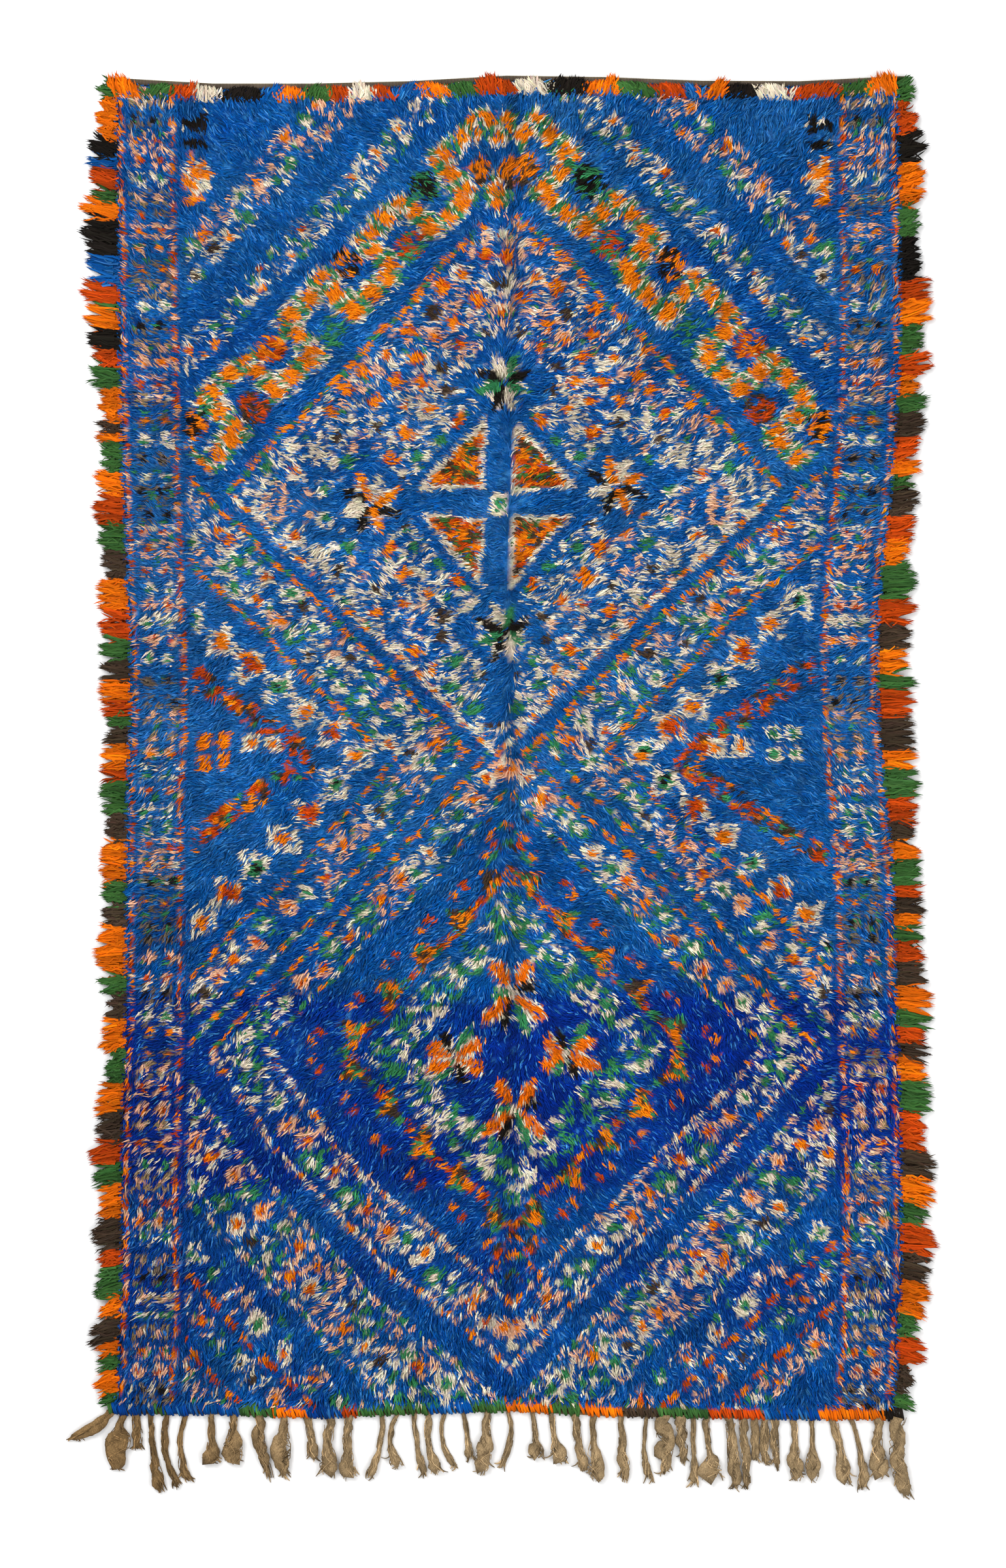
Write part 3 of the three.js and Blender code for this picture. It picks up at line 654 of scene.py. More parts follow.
def wandered(x, y):
    """Hand-knotted lines wander: soft noise moves each point, far in wide waves, less in short ones."""
    for number, (move, cell) in enumerate(WANDER):
        x, y = (x + move * soft_noise(x, y, cell, 60 + number), y + move * soft_noise(x, y, cell, 70 + number))
    return x, y


def chart(x, y, v):
    """Number of the yarn at every point: blue ground, then each part of the pattern on top."""
    half = (along(RIGHT, v) - along(LEFT, v)) / 2
    straight_x = (x - (along(RIGHT, v) + along(LEFT, v)) / 2) * DESIGN_HALF / half
    straight_y = y
    x, y = wandered(straight_x, y)
    yarn = np.full(np.shape(x), BLUE)
    side_run, up = side_measures(x, y)
    from_band = up - side_value(x, (BAND_LINES[0][0], BAND_LINES[1][0])) - BAND_GAP
    above = from_band > 0
    below = ~above & (y < SIDE_START[1])
    run, out = arms(x, y, CHAIN_APEX, CHAIN_SLOPE)
    inside = out < INNER_BORDER - LINE_HALF - LINE_MARGIN
    upper_lozenge(yarn, x, y, above & inside)
    dash(yarn, above & inside & (from_band < 2 * LINE_HALF), side_run + 900, 17, (CREAM, ORANGE, CREAM))
    upper_end(yarn, x, y, above & ~inside)
    side_triangles(yarn, x, y, ~above & ~below)
    lower_bands(yarn, x, y, below)
    side_marks(yarn, x, y)
    lower_heart(yarn, x, y)
    corner_marks(yarn, x, y)
    side_borders(yarn, straight_x, straight_y)
    return yarn


sample = np.random.default_rng(2).uniform(0, 1, (2, 4000))
sample_yarn = chart(*field_point(*sample), sample[1])
print("Share of blue knots:", round(float(np.mean(sample_yarn == BLUE)), 2))

# %% [markdown]
# ## From whole arrays to a mesh
# Every piece below is worked out as arrays: points, the corners of its faces and one colour for
# each point. This helper hands them to Blender in one go. Each lock of yarn also gets a small cell
# of its own in a map, where the export can keep the lock's colour.

# %% Mesh helpers


def lay_mesh(name, points, corners, sizes, finish, colours, **maps):
    """A mesh from points (n, 3), the corner numbers of all faces in a row and each face's size."""
    mesh = bpy.data.meshes.new(name)
    points = np.asarray(points, dtype=np.float32).reshape(-1, 3) * MM
    corners = np.asarray(corners, dtype=np.int32).ravel()
    sizes = np.asarray(sizes, dtype=np.int32).ravel()
    mesh.vertices.add(len(points))
    mesh.vertices.foreach_set("co", points.ravel())
    mesh.loops.add(len(corners))
    mesh.loops.foreach_set("vertex_index", corners)
    mesh.polygons.add(len(sizes))
    mesh.polygons.foreach_set("loop_start", (np.cumsum(sizes) - sizes).astype(np.int32))
    mesh.polygons.foreach_set("use_smooth", np.ones(len(sizes), dtype=bool))
    mesh.update(calc_edges=True)
    rgba = np.ones((len(points), 4), dtype=np.float32)
    rgba[:, :3] = np.asarray(colours, dtype=np.float32).reshape(-1, 3)
    # These colours already hold the painted shade and light of each piece, such as dark roots and lit tips.
    mesh.color_attributes.new("yarn", "FLOAT_COLOR", "POINT").data.foreach_set("color", rgba.ravel())
    for map_name, places in maps.items():
        flat = np.asarray(places, dtype=np.float32).reshape(-1, 2)[corners]
        mesh.uv_layers.new(name=map_name).uv.foreach_set("vector", flat.ravel())
    mesh.materials.append(finish)
    piece = bpy.data.objects.new(name, mesh)
    bpy.context.scene.collection.objects.link(piece)
    triangles = int(np.sum(sizes - 2))
    print(f"{name}: {len(points)} points, {triangles} triangles")
    return piece


def lock_maps(count, across, length):
    """Two maps for many locks. One has a small cell for each lock, side by side in a square. The
    other, for the fibres, runs on from lock to lock, so no two locks have the same fibres."""
    side = math.ceil(math.sqrt(count))
    number = np.arange(count)
    inside = np.stack([across, length], axis=-1)[None, :, :]
    corner = np.stack([number % side, number // side], axis=-1)[:, None, :]
    step = np.stack([number * 2.0, number % 7], axis=-1)[:, None, :]
    return {"OFBake": (corner + 0.1 + 0.8 * inside) / side, "strand": inside + step}


def repeat_faces(count, points_each, corners, sizes):
    """The same faces for every lock: corner numbers shifted by the lock's first point."""
    shift = np.arange(count)[:, None] * points_each
    return (np.asarray(corners)[None, :] + shift).ravel(), np.tile(sizes, count)


print("Faces laid from arrays, in metres")

# %% [markdown]
# ## Tubes of yarn
# Longer yarns lie as soft cords. A cord is a ring carried along a path: at each step an ellipse
# square to the path, and a closed point at the end. All cords of a piece are computed together, as
# one array with an axis for the cord, one for the step and one for the turn round the ring.

# %% Cords along paths


def cords(path, width, height, sides):
    """Rings of an ellipse along paths (cord, step, 3), and one closing point at each end."""
    tangent = np.gradient(path, axis=1)
    tangent /= np.linalg.norm(tangent, axis=-1, keepdims=True)
    aside = np.cross(tangent, (0.0, 0.0, 1.0))
    aside /= np.maximum(np.linalg.norm(aside, axis=-1, keepdims=True), 1e-6)
    lift = np.cross(aside, tangent)
    turn = (np.arange(sides) + 0.5) * 2 * math.pi / sides
    ring = (path[:, :, None]
            + 0.5 * width[:, :, None, None] * np.cos(turn)[:, None] * aside[:, :, None]
            + 0.5 * height[:, :, None, None] * np.sin(turn)[:, None] * lift[:, :, None])
    tip = path[:, -1] + tangent[:, -1] * width[:, -1:] * 0.6
    count, steps = path.shape[:2]
    return np.concatenate([ring.reshape(count, steps * sides, 3), tip[:, None]], axis=1)


def cord_faces(steps, sides):
    """Quads between rings, triangles to the tip and one face that closes the root."""
    s, step = np.meshgrid(np.arange(sides), np.arange(steps - 1))
    after = (s + 1) % sides
    quads = np.stack([step * sides + s, (step + 1) * sides + s,
                      (step + 1) * sides + after, step * sides + after], axis=-1).reshape(-1, 4)
    last = (steps - 1) * sides
    s = np.arange(sides)
    tips = np.stack([last + s, np.full(sides, steps * sides), last + (s + 1) % sides], axis=-1)
    corners = np.concatenate([quads.ravel(), tips.ravel(), s])
    sizes = np.concatenate([np.full(len(quads), 4), np.full(sides, 3), [sides]])
    return corners, sizes


def lay_cords(name, path, width, height, sides, colours, finish):
    """One piece from many cords; colours (cord, step, 3) are the same all round each ring."""
    count, steps = path.shape[:2]
    points = cords(path, width, height, sides)
    points[..., 2] = np.maximum(points[..., 2], 0)
    ring_colours = np.repeat(colours, sides, axis=1)
    all_colours = np.concatenate([ring_colours, colours[:, -1:]], axis=1)
    around = np.abs(np.linspace(-1, 1, sides, endpoint=False))
    across = np.append(np.tile(around, steps), 0.5)
    length = np.append(np.repeat(np.arange(steps) / steps, sides), 1.0)
    corners, sizes = repeat_faces(count, steps * sides + 1, *cord_faces(steps, sides))
    return lay_mesh(name, points, corners, sizes, finish, all_colours, **lock_maps(count, across, length))


print("Faces of one five-step, three-sided lock:", len(cord_faces(5, 3)[1]))

# %% [markdown]
# ## Ribbons of wool
# Finer locks are narrow ribbons: two points at each step of a path and one at the tip. A ribbon has
# only a few triangles, so a piece can have tens of thousands of them.

# %% Ribbons along paths
SOFTNESS = 0.75


def soften(piece):
    """Wool scatters light from all its fibres, so a lock is shaded as part of the soft surface and
    less as a flat blade: the normals are drawn towards straight up."""
    mesh = piece.data
    normals = np.empty((len(mesh.vertices), 3), dtype=np.float32)
    mesh.vertex_normals.foreach_get("vector", normals.ravel())
    normals[:, 2] = np.abs(normals[:, 2])
    normals = normals * (1 - SOFTNESS) + np.array((0, 0, SOFTNESS), dtype=np.float32)
    normals /= np.linalg.norm(normals, axis=1, keepdims=True)
    mesh.normals_split_custom_set_from_vertices(normals)


def lay_ribbons(name, path, half, roll, colours, finish):
    """Ribbons along paths (lock, step, 3), half as wide as given at each step, turned about their
    path by the roll and drawn to a point at the last step."""
    count, steps = path.shape[:2]
    ahead = np.gradient(path[..., :2], axis=1)
    aside = np.stack([-ahead[..., 1], ahead[..., 0]], axis=-1)
    aside /= np.maximum(np.linalg.norm(aside, axis=-1, keepdims=True), 1e-6)
    level = half * np.cos(roll)
    edge = np.concatenate([aside * level[..., None], (half * np.sin(roll))[..., None]], axis=-1)[:, :-1]
    pairs = np.stack([path[:, :-1] + edge, path[:, :-1] - edge], axis=2)
    points = np.concatenate([pairs.reshape(count, 2 * steps - 2, 3), path[:, -1:]], axis=1)
    points[..., 2] = np.maximum(points[..., 2], 0)
    dyed = np.concatenate([np.repeat(colours[:, :-1], 2, axis=1), colours[:, -1:]], axis=1)
    quads = 2 * np.arange(steps - 2)[:, None] + np.array([0, 1, 3, 2])
    faces = np.append(quads.ravel(), 2 * steps - 4 + np.arange(3))
    corners, sizes = repeat_faces(count, 2 * steps - 1, faces, [4] * (steps - 2) + [3])
    length = np.append(np.repeat(np.arange(steps - 1) / (steps - 1), 2), 1.0)
    across = np.append(np.tile([0.0, 1.0], steps - 1), 0.5)
    piece = lay_mesh(name, points, corners, sizes, finish, dyed, **lock_maps(count, across, length))
    soften(piece)
    return piece


print("Triangles of one three-step ribbon:", 3)

# %% [markdown]
# ## Wool finishes
# Wool is matt, with a soft halo of fibres. The colour of each lock comes from the mesh. Fine noise
# breaks it up into fibres, lighter and darker, and lifts them as bump. Numbers that are the same
# all over a surface sit on the shader's own sockets, so the export keeps them.

# %% Materials


def wool(name, fibre, depth, bump, sheen, stretch=(1.0, 1.0, 1.0), strand=False):
    """Lock colour times fibre noise; the same noise is the bump. On strands the noise is stretched
    along each lock by the lock's own map."""
    material = bpy.data.materials.new(name)
    material.use_nodes = True
    nodes, links = material.node_tree.nodes, material.node_tree.links
    shader = nodes["Principled BSDF"]
    shader.inputs["Roughness"].default_value = 0.88
    shader.inputs["Specular IOR Level"].default_value = 0.08
    shader.inputs["Sheen Weight"].default_value = sheen
    shader.inputs["Sheen Roughness"].default_value = 0.45
    # The vertex colours are the yarn's colour with painted shade and light laid on it.
    dye_and_painted_shade = nodes.new("ShaderNodeVertexColor")
    dye_and_painted_shade.layer_name = "yarn"
    place = nodes.new("ShaderNodeUVMap" if strand else "ShaderNodeTexCoord")
    if strand:
        place.uv_map = "strand"
    turn = nodes.new("ShaderNodeMapping")
    turn.inputs["Scale"].default_value = stretch
    fibres = nodes.new("ShaderNodeTexNoise")
    fibres.inputs["Scale"].default_value = fibre
    fibres.inputs["Detail"].default_value = 3.0
    fibres.inputs["Roughness"].default_value = 0.65
    shade = nodes.new("ShaderNodeMapRange")
    shade.inputs["From Min"].default_value = 0.3
    shade.inputs["From Max"].default_value = 0.7
    shade.inputs["To Min"].default_value = 1.0 - depth
    shade.inputs["To Max"].default_value = 1.0 + depth
    dyed = nodes.new("ShaderNodeVectorMath")
    dyed.operation = "SCALE"
    raised = nodes.new("ShaderNodeBump")
    raised.inputs["Strength"].default_value = bump
    raised.inputs["Distance"].default_value = 0.001
    links.new(place.outputs["UV" if strand else "Object"], turn.inputs["Vector"])
    links.new(turn.outputs["Vector"], fibres.inputs["Vector"])
    links.new(fibres.outputs["Fac"], shade.inputs["Value"])
    links.new(dye_and_painted_shade.outputs["Color"], dyed.inputs[0])
    links.new(shade.outputs["Result"], dyed.inputs["Scale"])
    links.new(dyed.outputs["Vector"], shader.inputs["Base Color"])
    links.new(fibres.outputs["Fac"], raised.inputs["Height"])
    links.new(raised.outputs["Normal"], shader.inputs["Normal"])
    return material


PILE_WOOL = wool("pile wool", 1.0, 0.45, 0.5, 0.02, (1.7, 2.2, 1.0), True)
MAT_WOOL = wool("pile mat", 260.0, 0.35, 0.6, 0.02)
TUFT_WOOL = wool("tuft wool", 1.0, 0.40, 0.4, 0.02, (4.0, 2.4, 1.0), True)
GROUND_WOOL = wool("knotted ground", 420.0, 0.35, 0.5, 0.02)
HEADING_WOOL = wool("heading weave", 500.0, 0.30, 0.5, 0.02, (1.0, 2.4, 1.0))
BINDING_WOOL = wool("overcast wool", 1.0, 0.35, 0.4, 0.02, (5.0, 2.0, 1.0), True)
FRINGE_WOOL = wool("felted warp", 420.0, 0.55, 1.0, 0.02, (2.0, 0.6, 1.0))
CURL_WOOL = wool("loose warp", 1.0, 0.40, 0.5, 0.02, (4.0, 3.0, 1.0), True)
print("Wool finishes:", len(bpy.data.materials))

# %% [markdown]
# ## The ground sheet
# Under the pile lies the real cloth: a dense weave of warps and wefts, with the rows of knots shown
# on its back in the colours of the pattern. It is a thin closed sheet on the field's outline, flat
# on the floor. The grid's top and bottom share the same u and v; the walls join their rims.

# %% Ground weave
GROUND_THICKNESS = 4.5
GROUND_GRID = (64, 106)


def grid_faces(columns, rows):
    """Quads of a grid whose points are numbered column by column."""
    i, j = np.meshgrid(np.arange(columns - 1), np.arange(rows - 1), indexing="ij")
    low = (i * rows + j).ravel()
    return np.stack([low, low + rows, low + rows + 1, low + 1], axis=-1)


def closed_sheet(columns, rows):
    """Quads of a top grid, the same grid turned over below it, and a wall round the rim."""
    top = grid_faces(columns, rows)
    below = columns * rows
    rim = np.concatenate([np.arange(columns) * rows, (columns - 1) * rows + np.arange(1, rows),
                          np.arange(columns - 2, -1, -1) * rows + rows - 1,
                          np.arange(rows - 2, 0, -1)])
    after = np.roll(rim, -1)
    wall = np.stack([rim, rim + below, after + below, after], axis=-1)
    return np.concatenate([top, top[:, ::-1] + below, wall])


def make_ground():
    u, v = np.meshgrid(np.linspace(0, 1, GROUND_GRID[0]), np.linspace(0, 1, GROUND_GRID[1]),
                       indexing="ij")
    x, y = field_point(u, v)
    flat = np.stack([x, y, np.zeros_like(x)], axis=-1).reshape(-1, 3)
    knots = np.where(np.arange(GROUND_GRID[1]) % 2, 0.0, 0.35) + np.zeros_like(x)
    top = flat + np.stack([0 * x, 0 * x, GROUND_THICKNESS - knots], axis=-1).reshape(-1, 3)
    colours = PALETTE[chart(x, y, v)].reshape(-1, 3)
    faces = closed_sheet(*GROUND_GRID)
    map_flat = np.stack([u * 0.5, v], axis=-1).reshape(-1, 2)
    cells = np.concatenate([map_flat * 0.98, map_flat * 0.98 + (0.5, 0)])
    # Painted shade: the top, under the pile, takes half the pattern's colours, and the underside seven tenths.
    return lay_mesh("ground_weave", np.concatenate([top, flat]), faces, np.full(len(faces), 4),
                    GROUND_WOOL, np.concatenate([colours * 0.5, colours * 0.7]), OFBake=cells)


ground = make_ground()

# %% [markdown]
# ## The pile
# Each knot leaves two wavy ends of wool about 45 mm long, which rise, bend over and lie on their
# neighbours like fur. A rug has far too many for round cords, so each lock is a narrow ribbon with
# one bend, three triangles in all. The pile leans out from the parting and down towards the fringe
# end, and swirls a little everywhere. A lock follows these swirls from the root to the bend and on
# to the tip, as neighbouring locks do, and that gives the combed, wavy look.

# %% Lean of the pile
LEAN_PLACES = (-1.0, -0.75, -0.35, 0.0, 0.45, 0.8, 1.0)
LEAN_UP = (-1.4, -0.95, -0.6, -0.15, 0.1, 0.45, 0.95)
LEAN_OUT = (0.35, 0.65, 0.85, 1.0, 0.95, 0.75, 0.5)
HALF_LENGTH = 1412


def pile_lean(x, y):
    """Angle of the lean: out from the middle and along the rug by its place, plus swirls."""
    place = y / HALF_LENGTH
    sway = x + 25 * soft_noise(x, y, 160, 1)
    out = np.tanh(sway / 70) * np.interp(place, LEAN_PLACES, LEAN_OUT)
    angle = np.arctan2(np.interp(place, LEAN_PLACES, LEAN_UP), out)
    swirl = 0.45 * soft_noise(x, y, 110, 2) + 0.4 * soft_noise(x, y, 45, 3)
    return angle + swirl + 0.6 * soft_noise(x, y, 17, 4)


def lean_step(angle, length):
    return np.stack([np.cos(angle), np.sin(angle)], axis=-1) * np.asarray(length)[:, None]


# %% Colour of the locks
TONE_PLACES = (-1412, -1290, -1200, -1130, -1060, -965, -925, -545, -510, -350, -100, 500, 800, 1415)
TONE_DEPTHS = (0.35, 0.3, 0.55, 0.65, 0.35, 0.4, 0.9, 0.9, 0.25, 0.05, -0.02, -0.08, 0.12, 0.0)
PARTING_SHADE = (5, 14, 0.4)
UPPER_SHADE = 0.03
LEFT_SHADE = 0.16
BUNDLE = 8


def bundle_chance(x, y, seed):
    """One number from 0 to 1 that is the same for all the fibres of a yarn's end."""
    return cell_chance(x // BUNDLE + 300, y // BUNDLE + 400, seed)


def lock_colours(yarn, x, y, chance):
    """Dye of each lock: its yarn, deeper blue in some rows, and every lock a little different, with painted light and
    shade on top.
    """
    colours = PALETTE[yarn]
    blue = yarn == BLUE
    tone = np.interp(y, TONE_PLACES, TONE_DEPTHS) + 0.25 * soft_noise(x, y, 140, 4)
    tone = (tone + chance.normal(0, 0.12, len(x)))[:, None]
    blues = (PALETTE[BLUE] + (PALETTE[DEEP] - PALETTE[BLUE]) * np.clip(tone, 0, 1)
             + (PALETTE[SKY] - PALETTE[BLUE]) * np.clip(-tone, 0, 0.6))
    # Some blue locks are paler, towards sky blue: lighter yarn, and also painted highlights on the pile.
    light = chance.uniform(0, 1, len(x))[:, None]
    paler_yarn_and_highlight = light > 0.76 + 0.14 * tone
    blues = np.where(paler_yarn_and_highlight, blues + (PALETTE[SKY] - blues) * (light - 0.60) * 2.4, blues)
    colours = np.where(blue[:, None], blues, colours)
    # Painted light and shade: soft clumps of the pile painted lighter and darker, painted shade along the parting, and
    # darker towards the upper end and at the left side. The bundle term adds a random tone to each yarn's end.
    painted_shade_and_tone = 0.26 * soft_noise(x, y, 23, 8) + 0.14 * soft_noise(x, y, 70, 9) + 0.12 * soft_noise(x, y, 9, 10)
    middle, reach, depth = PARTING_SHADE
    painted_shade_and_tone = painted_shade_and_tone - depth * bell(x - middle, reach) - UPPER_SHADE * smooth_step(y, 600, 900)
    painted_shade_and_tone = painted_shade_and_tone - LEFT_SHADE * smooth_step(-x, 480, 720)
    painted_shade_and_tone = painted_shade_and_tone + 0.4 * (bundle_chance(x, y, 63) - 0.5)
    lightness = np.exp(painted_shade_and_tone + chance.normal(0, 0.11, len(x)))[:, None]
    warmth = 1 + chance.normal(0, 0.05, (len(x), 3))
    return np.clip(colours * lightness * warmth, 0, 0.95)


print("Depth of the blue at the lower stars:", float(np.interp(-654, TONE_PLACES, TONE_DEPTHS)))

# %% [markdown]
# The lower parts of the locks stand so close that they read as one soft mass. This mat is a sheet
# on the solid's own lumps and creases, lower than the tips, with its rim drawn down to the ground.
# It has the colours of the chart, blended from point to point and darkened as painted shade, and the locks lie over
# it.

# %% Pile mat
MAT_STEP = 12
MAT_SHARE = 0.66
MAT_ROUGH = 1.6


def make_pile_mat():
    chance = np.random.default_rng(90)
    columns = round(float(np.mean(RIGHT - LEFT)) / MAT_STEP)
    rows = round(float(np.mean(TOP - BOTTOM)) / MAT_STEP)
    u, v = np.meshgrid(np.linspace(0, 1, columns), np.linspace(0, 1, rows), indexing="ij")
    x, y = field_point(u, v)
    z = MAT_SHARE * pile_height(u, v) + chance.normal(0, MAT_ROUGH, u.shape)
    rim = np.minimum(np.minimum(u, 1 - u) * columns, np.minimum(v, 1 - v) * rows)
    z = np.where(rim < 0.5, GROUND_THICKNESS, z)
    flat_x, flat_y = x.ravel(), y.ravel()
    dye_and_painted_shade = lock_colours(chart(x, y, v).ravel(), flat_x, flat_y, chance)
    faces = grid_faces(columns, rows)
    cells = np.stack([u, v], axis=-1) * 0.98 + 0.01
    # Painted shade: the mat takes three quarters of the locks' colours, as it lies in the shade under the tips.
    return lay_mesh("pile_mat", np.stack([x, y, z], axis=-1), faces, np.full(len(faces), 4),
                    MAT_WOOL, dye_and_painted_shade * 0.75, OFBake=cells)


pile_mat = make_pile_mat()

# %% [markdown]
# The roots stand on a jittered grid, as knots do in their rows. The chart is read where the lock
# shows, past its bend, so motifs keep their place although the pile leans. Near the rim the lean is
# shortened, so that the pile doesn't hide the edges.

# %% Pile locks
PILE_BANDS = 4
LOCK_SPACING = 4.95
LOCK_REACH = 28
LOCK_WIDTH = 2.8
LOCK_ROOT_Z = 3.0
LOCK_STEPS = (0.42, 0.58)
# Painted shade and light along each lock: the root painted dark, as shade inside the pile, and the tip painted a
# little lighter than its dye.
LOCK_PAINTED_SHADE_AND_LIGHT = (0.4, 0.85, 1.1)
EDGE_OVERHANG = 4
TOP_OVERHANG = -3
# The pile hides the overcast end more on the left than on the right.
END_OVERHANG = ((0, 0.5, 0.62, 1), (22, 20, 12, 11))
CHART_JITTER = 0.6
STRAY_SHARE = 0.06


def pile_roots(low, high, chance):
    """Jittered grid in u and v over one band of the field, from v = low to v = high."""
    columns = round(float(np.mean(RIGHT - LEFT)) / LOCK_SPACING)
    rows = round(float(np.mean(TOP - BOTTOM)) * (high - low) / LOCK_SPACING)
    u, v = np.meshgrid((np.arange(columns) + 0.5) / columns,
                       low + (high - low) * (np.arange(rows) + 0.5) / rows, indexing="ij")
    u = u.ravel() + chance.uniform(-0.5, 0.5, u.size) / columns
    v = v.ravel() + chance.uniform(-0.5, 0.5, v.size) * (high - low) / rows
    return np.clip(u, 0, 1), np.clip(v, 0, 1)


def held_share(place, step, low, high):
    """Largest share of a step that keeps its end between low and high."""
    room = np.where(step > 0, high - place, low - place)
    return np.clip(room / np.where(np.abs(step) < 1e-6, 1e-6, step), 0.12, 1)


def pile_spines(u, v, chance):
    """Root, bend and tip of every lock in plan: each step follows the lean where it starts."""
    x, y = field_point(u, v)
    reach = LOCK_REACH * chance.uniform(0.7, 1.25, len(x))
    stray = 0.6 * (bundle_chance(x, y, 62) - 0.5) + chance.normal(0, 0.08, len(x))
    straight = lean_step(pile_lean(x, y) + stray, reach)
    reach = reach * np.minimum(
        held_share(x, straight[:, 0], along(LEFT, v) - EDGE_OVERHANG, along(RIGHT, v) + EDGE_OVERHANG),
        held_share(y, straight[:, 1], along(BOTTOM, u) - np.interp(u, *END_OVERHANG),
                   along(TOP, u) + TOP_OVERHANG))
    spine = [np.stack([x, y], axis=-1)]
    for share in LOCK_STEPS:
        angle = pile_lean(*spine[-1].T) + stray
        spine.append(spine[-1] + lean_step(angle, share * reach))
    return np.stack(spine, axis=1)


def make_pile_band(number):
    chance = np.random.default_rng(100 + number)
    u, v = pile_roots(number / PILE_BANDS, (number + 1) / PILE_BANDS, chance)
    flat = pile_spines(u, v, chance)
    count = len(u)
    top = pile_height(u, v)[:, None]
    rise = np.stack([np.zeros(count), chance.uniform(0.72, 1.0, count),
                     chance.uniform(0.55, 0.9, count)], axis=-1)
    spine = np.concatenate([flat, (LOCK_ROOT_Z + (top - LOCK_ROOT_Z) * rise)[..., None]], axis=-1)
    half = 0.5 * LOCK_WIDTH * chance.uniform(0.7, 1.3, (count, 1)) * np.ones((1, 3))
    roll = chance.normal(0, 0.25, (count, 1)) * np.ones((1, 3))
    seen = 0.5 * (flat[:, 1] + flat[:, 2])
    bundle = (np.floor(seen / BUNDLE) + 0.5) * BUNDLE
    seen = seen + 0.7 * (bundle - seen) + chance.normal(0, CHART_JITTER, (count, 2))
    yarn = chart(seen[:, 0], seen[:, 1], v)
    yarn[chance.uniform(0, 1, count) < STRAY_SHARE] = BLUE
    dye_and_painted_shade = lock_colours(yarn, *flat[:, 0].T, chance)
    # Painted shade at each root, painted light at each tip.
    colours = dye_and_painted_shade[:, None, :] * np.array(LOCK_PAINTED_SHADE_AND_LIGHT)[None, :, None]
    return lay_ribbons(f"pile_band_{number + 1}", spine, half, roll, colours, PILE_WOOL)


pile = [make_pile_band(number) for number in range(PILE_BANDS)]

# %% [markdown]
# ## The side tufts
# Both selvedges are wrapped with longer yarn, left as a dense ragged row of tufts in blocks of one
# colour after the other. The blocks are charted here as pairs of yarn and height. The yarns
# of a tuft gather towards a common tip, which gives the ragged outline.

# %% Blocks of colour along the sides
G, O, R, K, B, N = MOSS, FLAME, RUST, BLACK, BLUE, BROWN
LEFT_BLOCKS = (
    (G, 20), (O, 95), (K, 40), (B, 20), (R, 45), (G, 30), (O, 35), (K, 80), (B, 60), (R, 40),
    (G, 15), (O, 40), (K, 40), (R, 40), (G, 45), (O, 75), (N, 20), (O, 20), (G, 65), (O, 50),
    (R, 65), (G, 55), (N, 60), (O, 65), (R, 65), (G, 40), (N, 45), (O, 45), (R, 30), (G, 25),
    (N, 40), (O, 50), (R, 25), (G, 75), (N, 55), (O, 90), (G, 50), (N, 45), (O, 105), (G, 35),
    (N, 60), (O, 60), (G, 75), (O, 60), (N, 65), (R, 45), (G, 45), (O, 75), (N, 65), (R, 35),
    (G, 70), (O, 40), (N, 50), (O, 30), (G, 30), (O, 55), (G, 30))
RIGHT_BLOCKS = (
    (G, 35), (R, 70), (K, 60), (O, 90), (G, 70), (K, 95), (R, 45), (O, 50), (G, 65), (R, 40),
    (O, 50), (G, 30), (N, 55), (R, 50), (O, 30), (G, 30), (N, 60), (R, 50), (O, 55), (G, 70),
    (R, 55), (N, 55), (O, 50), (G, 35), (R, 60), (N, 70), (O, 40), (G, 60), (R, 55), (N, 40),
    (O, 40), (G, 55), (R, 25), (N, 35), (O, 30), (G, 30), (R, 45), (N, 50), (O, 50), (G, 35),
    (R, 35), (N, 30), (O, 55), (G, 65), (R, 80), (N, 60), (O, 50), (G, 50), (R, 60), (N, 60),
    (O, 70), (G, 50), (R, 60), (N, 65), (G, 45), (O, 30))


def block_yarn(blocks, distance):
    """Yarn of the block that a distance from the first block's start falls in."""
    ends = np.cumsum([length for yarn, length in blocks])
    yarns = np.array([yarn for yarn, length in blocks])
    return yarns[np.minimum(np.searchsorted(ends, distance), len(blocks) - 1)]


print("Blocks on the sides:", len(LEFT_BLOCKS), len(RIGHT_BLOCKS))

# %% Side tufts
TUFT_YARNS = 6000
TUFT_CLUMP = 17
TUFT_STEPS = np.array([0.0, 0.25, 0.5, 0.78, 1.0])
TUFT_WIDTH = 4.2
TUFT_FAN = 0.30


def block_bulge(blocks, distance):
    """0 at the ends of a block and 1 at its middle, a half sine along it."""
    ends = np.cumsum([length for yarn, length in blocks]).astype(float)
    lengths = np.array([length for yarn, length in blocks])
    block = np.minimum(np.searchsorted(ends, distance), len(blocks) - 1)
    share = np.clip((distance - ends[block] + lengths[block]) / lengths[block], 0, 1)
    return np.sin(math.pi * share), block


